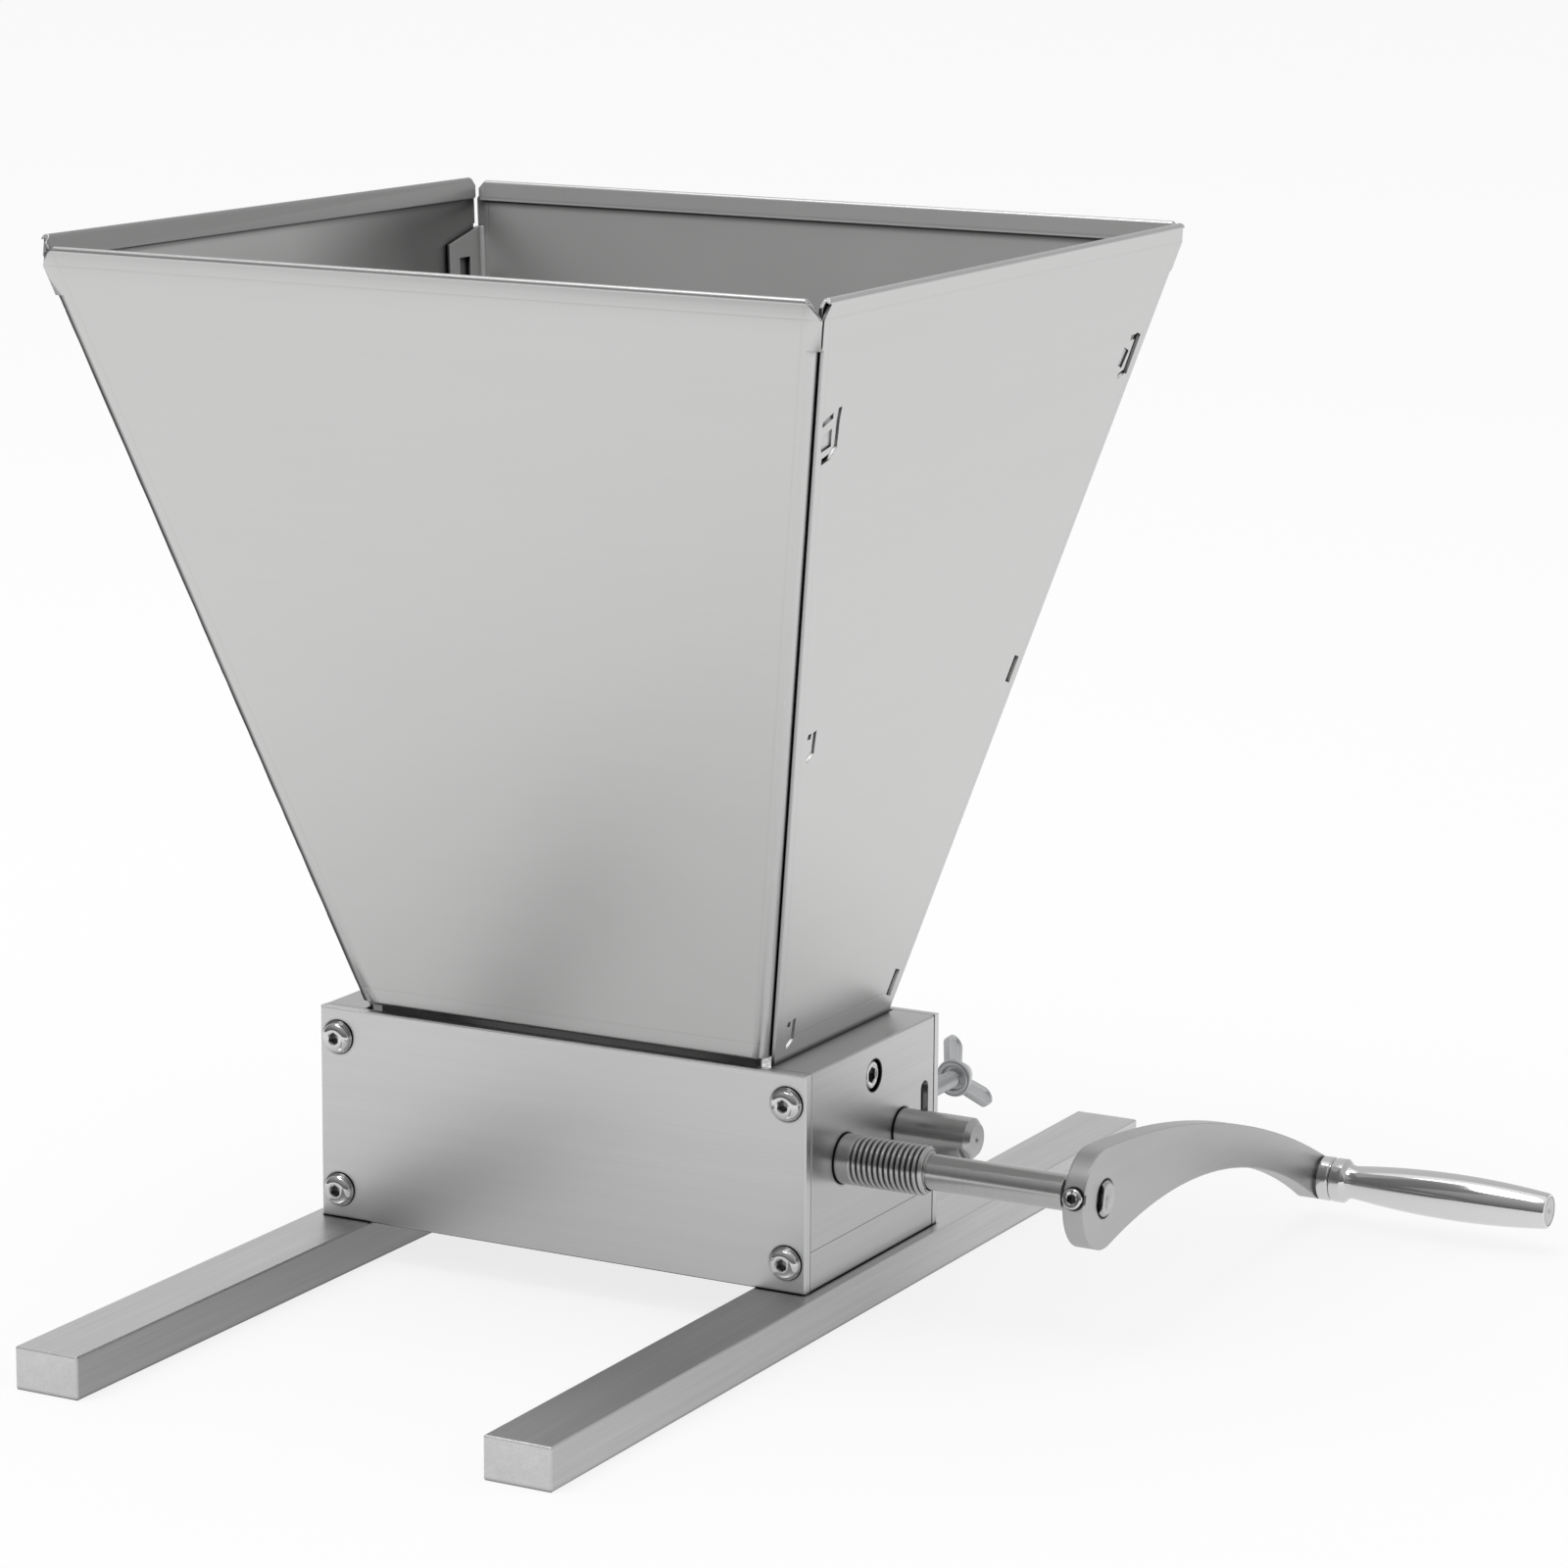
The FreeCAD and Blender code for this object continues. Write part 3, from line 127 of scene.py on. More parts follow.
@dataclass
class NodeBoard:
    """Short ways to add and join nodes in one tree."""

    tree: bpy.types.NodeTree

    def add(self, kind: str, inputs: dict | None = None, **settings: object) -> bpy.types.Node:
        """Add a node.

        Args:
            kind: The node's type name.
            inputs: Values or output sockets by the input's name or number.
            settings: Properties of the node itself.

        Returns:
            The new node.
        """
        node = self.tree.nodes.new(kind)
        for name, value in settings.items():
            setattr(node, name, value)
        for name, value in (inputs or {}).items():
            if isinstance(value, Socket):
                self.tree.links.new(value, node.inputs[name])
            else:
                node.inputs[name].default_value = value
        return node

    def math(self, operation: str, *values: object) -> Socket:
        """Add a Math node.

        Args:
            operation: The operation's name.
            values: Its numbers or sockets, in order.

        Returns:
            The node's output socket.
        """
        return self.add("ShaderNodeMath", dict(enumerate(values)), operation=operation).outputs[0]

    def spread(self, value: Socket, low: object, high: object, start: float = 0.0, end: float = 1.0,
               clamp: bool = True) -> Socket:
        """Map a range of a value to another range.

        Args:
            value: The value's socket.
            low: Result at the range's start, a number or a socket.
            high: Result at its end.
            start: Start of the range.
            end: End of the range.
            clamp: Whether the result stays within low and high.

        Returns:
            The mapped value's socket.
        """
        inputs = {"Value": value, "From Min": start, "From Max": end, "To Min": low, "To Max": high}
        return self.add("ShaderNodeMapRange", inputs, clamp=clamp).outputs[0]

    def group(self, tree: bpy.types.NodeTree, inputs: dict) -> bpy.types.Node:
        """Place a node group, with values or output sockets by the input's name."""
        return self.add("ShaderNodeGroup", inputs, node_tree=tree)

    def bump(self, height: Socket, depth: float, normal: Socket) -> Socket:
        """Raise a surface by a depth where the height is 1, or sink it where the depth is below 0."""
        inputs = {"Height": height, "Distance": abs(depth), "Normal": normal}
        return self.add("ShaderNodeBump", inputs, invert=depth < 0).outputs[0]

    def line(self, value: Socket, at: float, half: float) -> Socket:
        """Value that is 1 or more in a line's middle and 0 or less from half its width onwards."""
        off = self.math("ABSOLUTE", self.math("SUBTRACT", value, at))
        return self.math("MULTIPLY_ADD", off, -2.0 / half, 2.0)

    def parts(self, vector: Socket) -> tuple[Socket, Socket, Socket]:
        """Parts of a vector along X, Y and Z."""
        return tuple(self.add("ShaderNodeSeparateXYZ", {0: vector}).outputs)

    def place(self) -> Socket:
        """Object coordinates."""
        return self.add("ShaderNodeTexCoord").outputs["Object"]

    def facing_x(self) -> Socket:
        """Part of the surface's own direction along X."""
        return self.parts(self.add("ShaderNodeTexCoord").outputs["Normal"])[0]

    def dot(self, one: object, other: object) -> Socket:
        """Product of two vectors along each other."""
        product = self.add("ShaderNodeVectorMath", {0: one, 1: other}, operation="DOT_PRODUCT")
        return product.outputs["Value"]

    def grown(self, level: Socket, start: object, slope: object, first: object) -> Socket:
        """Size that is first at the start level and grows with the level by the slope."""
        return self.math("MULTIPLY_ADD", self.math("SUBTRACT", level, start), slope, first)

    def distance(self, across: Socket, up: Socket) -> Socket:
        """Length of two offsets at right angles."""
        squares = self.math("MULTIPLY_ADD", across, across, self.math("MULTIPLY", up, up))
        return self.math("SQRT", squares)

    def away(self, across: Socket, up: Socket, middle: tuple[float, float]) -> Socket:
        """Distance of a place, given by its two parts, from a middle."""
        return self.distance(*(self.math("SUBTRACT", part, at) for part, at in zip((across, up), middle)))

    def greatest(self, *values: Socket) -> Socket:
        """Find the greatest of some values, kept between 0 and 1.

        Args:
            values: The values' sockets.

        Returns:
            The greatest value's socket.
        """
        result = values[0]
        for value in values[1:]:
            result = self.math("MAXIMUM", result, value)
        result.node.use_clamp = True
        return result


def empty_board(owner: bpy.types.Material | bpy.types.World) -> NodeBoard:
    """Clear the nodes of a material or a world.

    Args:
        owner: The material or the world.

    Returns:
        The board of its tree.
    """
    owner.use_nodes = True
    owner.node_tree.nodes.clear()
    return NodeBoard(owner.node_tree)


def new_group(name: str, inputs: dict[str, str],
              outputs: dict[str, str]) -> tuple[NodeBoard, dict[str, Socket], dict[str, Socket]]:
    """Start a shader node group.

    Args:
        name: The group's name.
        inputs: Socket types by input name.
        outputs: Socket types by output name.

    Returns:
        The group's board, the sockets that hand out its inputs and those that take its outputs.
    """
    board = NodeBoard(bpy.data.node_groups.new(name, "ShaderNodeTree"))
    for direction, sockets in (("INPUT", inputs), ("OUTPUT", outputs)):
        for socket, kind in sockets.items():
            board.tree.interface.new_socket(socket, in_out=direction, socket_type=kind)
    given = board.add("NodeGroupInput").outputs
    taken = board.add("NodeGroupOutput").inputs
    return board, {socket: given[socket] for socket in inputs}, {socket: taken[socket] for socket in outputs}


def worked_marks() -> bpy.types.NodeTree:
    """Make the group of marks that brushing or turning leaves.

    Returns:
        A group with the marks' height, a streak shade and slow clouds, each between 0 and 1.
    """
    board, given, taken = new_group(
        "worked_marks", dict.fromkeys(("Across", "Place"), VECTOR),
        dict.fromkeys(("Height", "Streak", "Cloud"), FLOAT))
    noises = []
    for place, scale, detail, roughness in (
            ("Across", 1.0, 3.0, 0.65), ("Across", 0.22, 2.0, 0.5), ("Place", 16.0, 2.0, 0.45)):
        noises.append(board.add("ShaderNodeTexNoise", {
            "Vector": given[place], "Scale": scale, "Detail": detail, "Roughness": roughness}).outputs[0])
    fine, wide, cloud = noises
    streak = board.math("MULTIPLY_ADD", fine, 0.6, board.math("MULTIPLY", wide, 0.4))
    board.tree.links.new(fine, taken["Height"])
    board.tree.links.new(streak, taken["Streak"])
    board.tree.links.new(cloud, taken["Cloud"])
    return board.tree


def soft_edges() -> bpy.types.NodeTree:
    """Make the group that softens a part's edges and masks them for rubbing and a painted highlight.

    Returns:
        A group with a rounded normal and a mask that is 1 on the edges.
    """
    gain = 4.0
    board, given, taken = new_group("soft_edges", {"Radius": FLOAT}, {"Normal": VECTOR, "Edge Wear And Highlight": FLOAT})
    rounded = board.add("ShaderNodeBevel", {"Radius": given["Radius"]}, samples=6).outputs[0]
    flat = board.add("ShaderNodeNewGeometry").outputs["Normal"]
    edge_wear_and_highlight = board.math("MULTIPLY", board.math("SUBTRACT", 1.0, board.dot(rounded, flat)), gain)
    edge_wear_and_highlight.node.use_clamp = True
    board.tree.links.new(rounded, taken["Normal"])
    board.tree.links.new(edge_wear_and_highlight, taken["Edge Wear And Highlight"])
    return board.tree


def crevices() -> bpy.types.NodeTree:
    """Make the group that finds seams, roots and corners that hardly any light gets into.

    Returns:
        A group with the share of light let in, from its floor in a crevice to 1 in the open.
    """
    steepness = 1.7
    board, given, taken = new_group("crevices", {"Distance": FLOAT, "Floor": FLOAT}, {"Open": FLOAT})
    light = board.add("ShaderNodeAmbientOcclusion", {"Distance": given["Distance"]}, samples=8)
    steep = board.math("POWER", light.outputs["AO"], steepness)
    raised = board.math("MULTIPLY", steep, board.math("SUBTRACT", 1.0, given["Floor"]))
    board.tree.links.new(board.math("ADD", raised, given["Floor"]), taken["Open"])
    return board.tree


def fold_prints() -> bpy.types.NodeTree:
    """Make the group of faint lines that folding leaves inside a hopper wall's four edges.

    Returns:
        A group with the lines' height, 1 on a line.
    """
    sizes = ("Half Width", "Slope", "Bend", "Bottom", "Top", "Inset", "Width")
    board, given, taken = new_group(
        "fold_prints", {"Vector": VECTOR, **dict.fromkeys(sizes, FLOAT)}, {"Height": FLOAT})
    x, _, z = board.parts(given["Vector"])
    edge = board.grown(z, given["Bend"], given["Slope"], given["Half Width"])
    insets = (
        board.math("SUBTRACT", edge, board.math("ABSOLUTE", x)),
        board.math("SUBTRACT", z, given["Bottom"]),
        board.math("SUBTRACT", given["Top"], z),
    )
    lines = []
    for inset in insets:
        off_line = board.math("ABSOLUTE", board.math("SUBTRACT", inset, given["Inset"]))
        lines.append(board.math("SUBTRACT", 1.0, board.math("DIVIDE", off_line, given["Width"])))
    board.tree.links.new(board.greatest(*lines), taken["Height"])
    return board.tree


WORKED_MARKS = worked_marks()
SOFT_EDGES = soft_edges()
CREVICES = crevices()
FOLD_PRINTS = fold_prints()


@dataclass(frozen=True)
class Metal:
    """Finish of a bare metal surface.

    Attributes:
        name: Material name.
        shade: Linear reflectance of the metal, before its tint.
        roughness: Mean roughness.
        lay: Way it was worked.
        slot: Material slot of the record, not used.
        tint: Factors for red, green and blue.
        fine: Marks per metre across their lay.
        coarse: Marks per metre along it.
        streak: Share by which streaks lighten and darken the metal.
        cloud: Share by which slow clouds do.
        depth: Height of the marks.
        edge: Radius of the softened edges.
        wear_and_highlight: Share by which the edges are brighter, partly rubbed metal and partly a painted
            highlight.
        crevice_shade_reach: Distance within which other surfaces make a crevice of painted shade.
        crevice_shade_floor: Light that the painted shade leaves in a closed crevice.
        line_shade: Light left on the surface's lines, which are prints and joints, and painted shade in gaps.
        line_depth: Depth of these lines.
    """

    name: str
    shade: float
    roughness: float
    lay: Lay
    slot: str
    tint: tuple[float, float, float] = (1.0, 1.0, 1.0)
    fine: float = 1400.0
    coarse: float = 18.0
    streak: float = 0.10
    cloud: float = 0.05
    depth: float = 2e-6
    edge: float = 0.3 * MM
    wear_and_highlight: float = 0.12
    crevice_shade_reach: float = 1.2 * MM
    crevice_shade_floor: float = 0.12
    line_shade: float = 0.16
    line_depth: float = 0.02 * MM

    def material(self) -> bpy.types.Material:
        """Build the material.

        Returns:
            A node material on object coordinates.
        """
        material = bpy.data.materials.new(self.name)
        board = empty_board(material)
        place = board.place()
        scale = [self.fine if across else self.coarse for across in self.lay.value]
        stretched = board.add("ShaderNodeMapping", {"Vector": place, "Scale": scale})
        marks = board.group(WORKED_MARKS, {"Across": stretched.outputs[0], "Place": place})
        edges = board.group(SOFT_EDGES, {"Radius": self.edge})
        # Painted shade: ambient occlusion darkens seams, roots and corners.
        crevice = board.group(CREVICES, {"Distance": self.crevice_shade_reach, "Floor": self.crevice_shade_floor})
        normal = edges.outputs["Normal"]
        factors = [
            board.spread(marks.outputs["Streak"], 1 - self.streak, 1 + self.streak),
            board.spread(marks.outputs["Cloud"], 1 - self.cloud, 1 + self.cloud),
            # Edges brighter, partly as rubbed metal and partly as a painted highlight.
            board.spread(edges.outputs["Edge Wear And Highlight"], 1.0, 1 + self.wear_and_highlight),
            crevice.outputs["Open"],
        ]
        # Lines darken the colour: prints and joints on some metals, painted shade in gaps and roots on others.
        lines = self.lines(board, place)
        if lines is not None:
            factors.append(board.spread(lines, 1.0, self.line_shade))
            normal = board.bump(lines, -self.line_depth, normal)
        # Painted shade over whole regions of the surface.
        shadow = self.shadow(board, place)
        if shadow is not None:
            factors.append(board.spread(shadow, 1.0, SHADOW_SHADE))
        light = self.shade
        for factor in factors:
            light = board.math("MULTIPLY", light, factor)
        light = board.math("MINIMUM", light, BRIGHTEST)
        colour = board.add("ShaderNodeVectorMath", {0: self.tint, "Scale": light}, operation="SCALE")
        rough = board.spread(
            marks.outputs["Cloud"], self.roughness * (1 - ROUGH_SPREAD), self.roughness * (1 + ROUGH_SPREAD))
        shader = board.add("ShaderNodeBsdfPrincipled", {
            "Base Color": colour.outputs[0], "Metallic": 1.0, "Roughness": rough,
            "Normal": board.bump(marks.outputs["Height"], self.depth, normal)})
        board.add("ShaderNodeOutputMaterial", {"Surface": shader.outputs[0]})
        return material

    def lines(self, board: NodeBoard, place: Socket) -> Socket | None:
        """Find the lines that run on the surface, prints and joints and also painted shade in gaps.

        Args:
            board: The material's board.
            place: Object coordinates.

        Returns:
            A mask that is 1 on a line, or None where the surface has none.
        """
        return None

    def shadow(self, board: NodeBoard, place: Socket) -> Socket | None:
        """Find where painted shade makes the surface nearly black.

        Args:
            board: The material's board.
            place: Object coordinates.

        Returns:
            A mask that is 1 there, or None where it is black nowhere.
        """
        return None


@dataclass(frozen=True)
class HopperSheet(Metal):
    """Satin sheet with the prints of its folds, and painted shade on inner faces and along the left corner.

    Attributes:
        facing: Pair of walls that the sheet is for.
        inset: Prints' distance from the wall's edges.
        line: Half width of a print.
        corner: Width of the painted line of shade along the sharp left corner, or 0 without it.
        corner_top: Height that this line ends at.
        inner_shades: Depths of the painted shade on the inner faces, on the wall at its back end and on the
            hem.
        shade_span: Places along Y where the inner wall starts to darken and where it is darkest.
        inner_facing: Part of a face's direction outwards below which it counts as an inner one.
        hem_drop: Distance from the rim down to the hem's lower edge, on average.
        hem_blend: Height over which the hem's shade ends.
        hem_slope: How much the hem's lower edge falls towards the back.
    """

    tint: tuple[float, float, float] = WARM
    fine: float = 900.0
    coarse: float = 20.0
    streak: float = 0.02
    cloud: float = 0.03
    depth: float = 0.6e-6
    crevice_shade_reach: float = 2.0 * MM
    crevice_shade_floor: float = 0.05
    line_shade: float = 0.95
    line_depth: float = 0.025 * MM
    facing: Facing = Facing.FRONT_BACK
    inset: float = 5.2 * MM
    line: float = 0.5 * MM
    corner: float = 0.0
    corner_top: float = 281.0 * MM
    inner_shades: tuple[float, ...] = ()
    shade_span: tuple[float, float] = (5.0 * MM, 68.0 * MM)
    inner_facing: float = -0.3
    hem_drop: float = 5.2 * MM
    hem_blend: float = 1.0 * MM
    hem_slope: float = 0.0084

    def lines(self, board: NodeBoard, place: Socket) -> Socket:
        """Find the fold prints.

        Args:
            board: The material's board.
            place: Object coordinates.

        Returns:
            A mask that is 1 on a print.
        """
        turned = board.add("ShaderNodeMapping", {"Vector": place, "Rotation": (0.0, 0.0, self.facing.value)})
        prints = board.group(FOLD_PRINTS, {
            "Vector": turned.outputs[0], **HopperWalls().outline(self.facing), "Inset": self.inset,
            "Width": self.line})
        return prints.outputs[0]

    def shadow(self, board: NodeBoard, place: Socket) -> Socket | None:
        """Find the painted shade on the inner faces or along the sharp left corner.

        Args:
            board: The material's board.
            place: Object coordinates.

        Returns:
            The share by which they are darker, or None where the sheet has neither.
        """
        if self.inner_shades:
            return self.painted_inner_shade(board, place)
        return self.painted_corner_shade(board, place) if self.corner else None

    def painted_inner_shade(self, board: NodeBoard, place: Socket) -> Socket:
        """Find the painted shade on the walls' inner faces.

        Args:
            board: The material's board.
            place: Object coordinates.

        Returns:
            The share by which they are darker.
        """
        x, y, z = board.parts(place)
        inward = board.math("MULTIPLY", board.facing_x(), board.math("SIGN", x))
        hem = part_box("hopper_left_panel")[1].z - self.hem_drop
        wall = board.spread(y, 0.0, self.inner_shades[0], *self.shade_span)
        level = board.math("MULTIPLY_ADD", y, self.hem_slope, z)
        depth = board.spread(level, wall, self.inner_shades[1], hem, hem + self.hem_blend)
        return board.math("MULTIPLY", board.math("LESS_THAN", inward, self.inner_facing), depth)

    def painted_corner_shade(self, board: NodeBoard, place: Socket) -> Socket:
        """Find the painted line of shade along the sharp left corner.

        Args:
            board: The material's board.
            place: Object coordinates.

        Returns:
            A mask that is 1 on it.
        """
        wall = HopperWalls().outline(self.facing)
        x, _, z = board.parts(place)
        edge = board.grown(z, wall["Bend"], wall["Slope"], wall["Half Width"])
        line = board.greatest(board.line(board.math("ADD", edge, x), 0.0, self.corner))
        return board.math("MULTIPLY", line, board.math("LESS_THAN", z, self.corner_top))


@dataclass(frozen=True)
class JointedMetal(Metal):
    """Brushed metal of the body, dark along the joints of its plates, with painted shadow along its foot.

    Attributes:
        joint: Half width of a joint's line.
        foot: Height of the painted shadow's line along the foot.
    """

    joint: float = 0.22 * MM
    foot: float = 0.45 * MM

    def lines(self, board: NodeBoard, place: Socket) -> Socket:
        """Find the joints and the painted shadow along the foot.

        Args:
            board: The material's board.
            place: Object coordinates.

        Returns:
            A mask that is 1 on a joint.
        """
        low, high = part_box("front_plate")
        _, y, z = board.parts(place)
        seam = board.line(board.math("ABSOLUTE", y), abs(high.y), self.joint)
        return board.greatest(seam, board.line(z, low.z, self.foot))


@dataclass(frozen=True)
class PlateMetal(JointedMetal):
    """Metal of the plates, with a ring of painted shadow round each screw head.

    Attributes:
        head: Radius of the screw heads.
        ring: Half width of a ring.
    """

    head: float = 4.75 * MM
    ring: float = 0.45 * MM

    def lines(self, board: NodeBoard, place: Socket) -> Socket:
        """Find the joints and the rings of painted shadow.

        Args:
            board: The material's board.
            place: Object coordinates.

        Returns:
            A mask that is 1 on them.
        """
        low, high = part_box("front_plate_screws")
        middle = (low.z + high.z) / 2
        x, _, z = board.parts(place)
        level = board.math("ABSOLUTE", board.math("SUBTRACT", z, middle))
        head = (high.x - self.head, high.z - middle - self.head)
        ring = board.line(board.away(board.math("ABSOLUTE", x), level, head), self.head, self.ring)
        return board.greatest(super().lines(board, place), ring)


@dataclass(frozen=True)
class BlockMetal(JointedMetal):
    """Metal of the end blocks, with a ring of painted shade round each shaft and each sunk screw.

    Attributes:
        ring: Half width of a ring.
        screw_bore: Radius of the sunk screws' bores.
        drive_bore: Radius of the ring round the drive shaft.
        gap_bore: Radius of the ring round the gap shaft.
        fine_line: Height of the fine line along the block.
        fine_line_half: Half width of this line.
        fine_line_share: How strong it is beside the others.
    """

    ring: float = 0.4 * MM
    screw_bore: float = 4.6 * MM
    drive_bore: float = 7.1 * MM
    gap_bore: float = 6.1 * MM
    fine_line: float = 23.5 * MM
    fine_line_half: float = 0.16 * MM
    fine_line_share: float = 0.6

    def lines(self, board: NodeBoard, place: Socket) -> Socket:
        """Find the joints and the rings of painted shade.

        Args:
            board: The material's board.
            place: Object coordinates.

        Returns:
            A mask that is 1 on them.
        """
        low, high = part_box("hopper_fixing_screws")
        mouths = (((0.0, (low.z + high.z) / 2), self.screw_bore),
                  (joint_place("crank").yz, self.drive_bore), (joint_place("gap_adjust").yz, self.gap_bore))
        _, y, z = board.parts(place)
        rings = [board.line(board.away(y, z, middle), radius, self.ring) for middle, radius in mouths]
        # A thin dark line across the block at a fixed height.
        fine_line = board.math("MULTIPLY", board.line(z, self.fine_line, self.fine_line_half), self.fine_line_share)
        return board.greatest(super().lines(board, place), fine_line, *rings)


@dataclass(frozen=True)
class BarMetal(Metal):
    """Metal of the base bars, whose sides are darkened by painted shade, the left more than the right.

    Attributes:
        side_shades: Depths of the sides' painted shade at the left and right ends of the reach, 0 to 1.
        reach: Distance along X from the middle to these ends.
        fade: Distances along Y over which the darkening fades out.
        side_power: How sharply the darkening ends where the surface turns away from X.
    """

    side_shades: tuple[float, float] = (0.5, 0.2)
    reach: float = 72.5 * MM
    fade: tuple[float, float] = (-10 * MM, 60 * MM)
    side_power: float = 4.0

    def shadow(self, board: NodeBoard, place: Socket) -> Socket:
        """Find the painted shade on the sides.

        Args:
            board: The material's board.
            place: Object coordinates.

        Returns:
            The share by which they are darker.
        """
        side = board.math("POWER", board.math("ABSOLUTE", board.facing_x()), self.side_power)
        x, y, _ = board.parts(place)
        depth = board.spread(x, *self.side_shades, -self.reach, self.reach)
        near = board.spread(y, 1.0, 0.0, *self.fade)
        return board.math("MULTIPLY", side, board.math("MULTIPLY", depth, near))


@dataclass(frozen=True)
class ShaftSteel(Metal):
    """Turned steel, with painted shade where a shaft leaves its block and in the roots of the thread.

    Attributes:
        mouth: Half width of the ring at the block.
        rise: Height over the thread's roots at which the painted shade ends.
    """

    mouth: float = 0.5 * MM
    rise: float = 0.2 * MM

    def lines(self, board: NodeBoard, place: Socket) -> Socket:
        """Find the painted shade in the ring at the block and in the thread's roots.

        Args:
            board: The material's board.
            place: Object coordinates.

        Returns:
            A mask that is 1 on them.
        """
        gear = RollerGear()
        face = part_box("end_block_right")[1].x
        root = gear.thick_radius - gear.thread_depth
        start = face + gear.thread_start
        end = face + gear.thick_reach - gear.run_out
        x, y, z = board.parts(place)
        deep = board.spread(board.away(y, z, joint_place("crank").yz), 1.0, 0.0, root, root + self.rise)
        off = board.math("ABSOLUTE", board.math("SUBTRACT", x, (start + end) / 2))
        deep = board.math("MULTIPLY", deep, board.math("LESS_THAN", off, (end - start) / 2))
        return board.greatest(board.line(x, face, self.mouth), deep)


@dataclass(frozen=True)
class ArmSteel(Metal):
    """Ground steel of the crank arm, with rings of painted shade round the shaft's end and the set screw.

    Attributes:
        bore: Radius of the ring round the shaft's end.
        screw: Radius of the ring round the set screw.
        ring: Half width of a ring.
        edge_depth: How far into the hub's edge the set screw's ring shows.
    """

    bore: float = 5.35 * MM
    screw: float = 3.0 * MM
    ring: float = 0.4 * MM
    edge_depth: float = 1.5 * MM

    def lines(self, board: NodeBoard, place: Socket) -> Socket:
        """Find the rings of painted shade.

        Args:
            board: The material's board.
            place: Object coordinates.

        Returns:
            A mask that is 1 on them.
        """
        low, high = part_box("crank_arm")
        hub = joint_place("crank")
        hub.x = (low.x + high.x) / 2
        turn = Matrix.Rotation(Crank.angle(), 3, "X")
        offsets = []
        for axis in Matrix.Identity(3):
            way = turn @ Vector(axis)
            offsets.append(board.math("SUBTRACT", board.dot(place, way), hub.dot(way)))
        aside, along, up = offsets
        round_shaft = board.line(board.distance(along, up), self.bore, self.ring)
        round_screw = board.line(board.distance(aside, up), self.screw, self.ring)
        outside = board.math("LESS_THAN", along, -Crank.hub_radius + self.edge_depth)
        return board.greatest(round_shaft, board.math("MULTIPLY", round_screw, outside))


@dataclass(frozen=True)
class ZincPlate(Metal):
    """Mottled zinc of the wing screws, with painted shade in the thread's roots and in the hub's grooves.

    Attributes:
        grooves: Radii of the rings of painted shade about the screw's axis.
        ring: Half width of a ring.
        front: Place along Y that the rings end at.
    """

    grooves: tuple[float, ...] = (2.1 * MM, 3.55 * MM, 4.88 * MM)
    ring: float = 0.33 * MM
    front: float = 62.3 * MM

    def lines(self, board: NodeBoard, place: Socket) -> Socket:
        """Find the painted shade in the roots and the grooves.

        Args:
            board: The material's board.
            place: Object coordinates.

        Returns:
            A mask that is 1 in them.
        """
        x, y, z = board.parts(place)
        away = board.away(board.math("ABSOLUTE", x), z, joint_place("wing_right_turn").xz)
        rings = board.greatest(*(board.line(away, groove, self.ring) for groove in self.grooves))
        return board.math("MULTIPLY", rings, board.math("LESS_THAN", y, self.front))


@dataclass(frozen=True)
class HandleSteel(Metal):
    """Polished steel of the handle, with painted shade in the groove between the arm and the collar.

    Attributes:
        groove: Half width of the groove's line.
        groove_rise: Distance from the arm's face to the line's middle.
    """

    groove: float = 0.42 * MM
    groove_rise: float = 0.3 * MM

    def lines(self, board: NodeBoard, place: Socket) -> Socket:
        """Find the painted shade in the groove."""
        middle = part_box("crank_arm")[1].x + self.groove_rise
        return board.greatest(board.line(board.parts(place)[0], middle, self.groove))


@dataclass(frozen=True)
class HopperWalls:
    """Outlines of the hopper's walls.

    Attributes:
        bend: Height of the walls' lower bend.
        foot: Height of the walls' lower edge.
        half_width: Half the hopper's width at the bend.
        half_depth: Half its depth there.
        width_slope: Growth of half the width with height.
        depth_slope: Growth of half the depth with height.
    """

    bend: float = 74.2 * MM
    foot: float = 75.6 * MM
    half_width: float = 65.4 * MM
    half_depth: float = 36.9 * MM
    width_slope: float = 54.1 / 220.3
    depth_slope: float = 74.9 / 220.3

    def outline(self, facing: Facing) -> dict[str, float]:
        """Outline of one pair of walls.

        Args:
            facing: The pair.

        Returns:
            Half width at the bend, its growth with height, and the foot's and the rim's heights.
        """
        across = facing is Facing.FRONT_BACK
        return {"Half Width": self.half_width if across else self.half_depth,
                "Slope": self.width_slope if across else self.depth_slope, "Bend": self.bend,
                "Bottom": self.foot, "Top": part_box("hopper_front_panel")[1].z}


@dataclass
class Piece:
    """A new piece of the mill, from its shape to its place in the model.

    Attributes:
        name: Piece name.
        body: Body that it rides on.
        finish: Its metal.
        stands_for: CAD nodes that it replaces.
    """

    name: str
    body: Body
    finish: Metal
    stands_for: tuple[str, ...] = ()

    def make(self, shape: Shape, crease: float = CREASE_ANGLE) -> None:
        """Turn a shape into the finished piece.

        Args:
            shape: The shape, in place. It is freed.
            crease: Angle past which an edge looks sharp.
        """
        bmesh.ops.remove_doubles(shape, verts=shape.verts, dist=WELD)
        bmesh.ops.recalc_face_normals(shape, faces=shape.faces)
        piece = make_object(self.name, shape, material_of(self.finish))
        mesh = piece.data
        for polygon in mesh.polygons:
            polygon.use_smooth = True
        mesh.set_sharp_from_angle(angle=crease)
        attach(piece, self.body.value)
        if self.stands_for:
            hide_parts(*self.stands_for)
        log.info("%s: %d faces on %s", self.name, len(mesh.polygons), self.body.value)


def material_of(finish: Metal) -> bpy.types.Material:
    """Material of a finish, built at its first use."""
    return bpy.data.materials.get(finish.name) or finish.material()


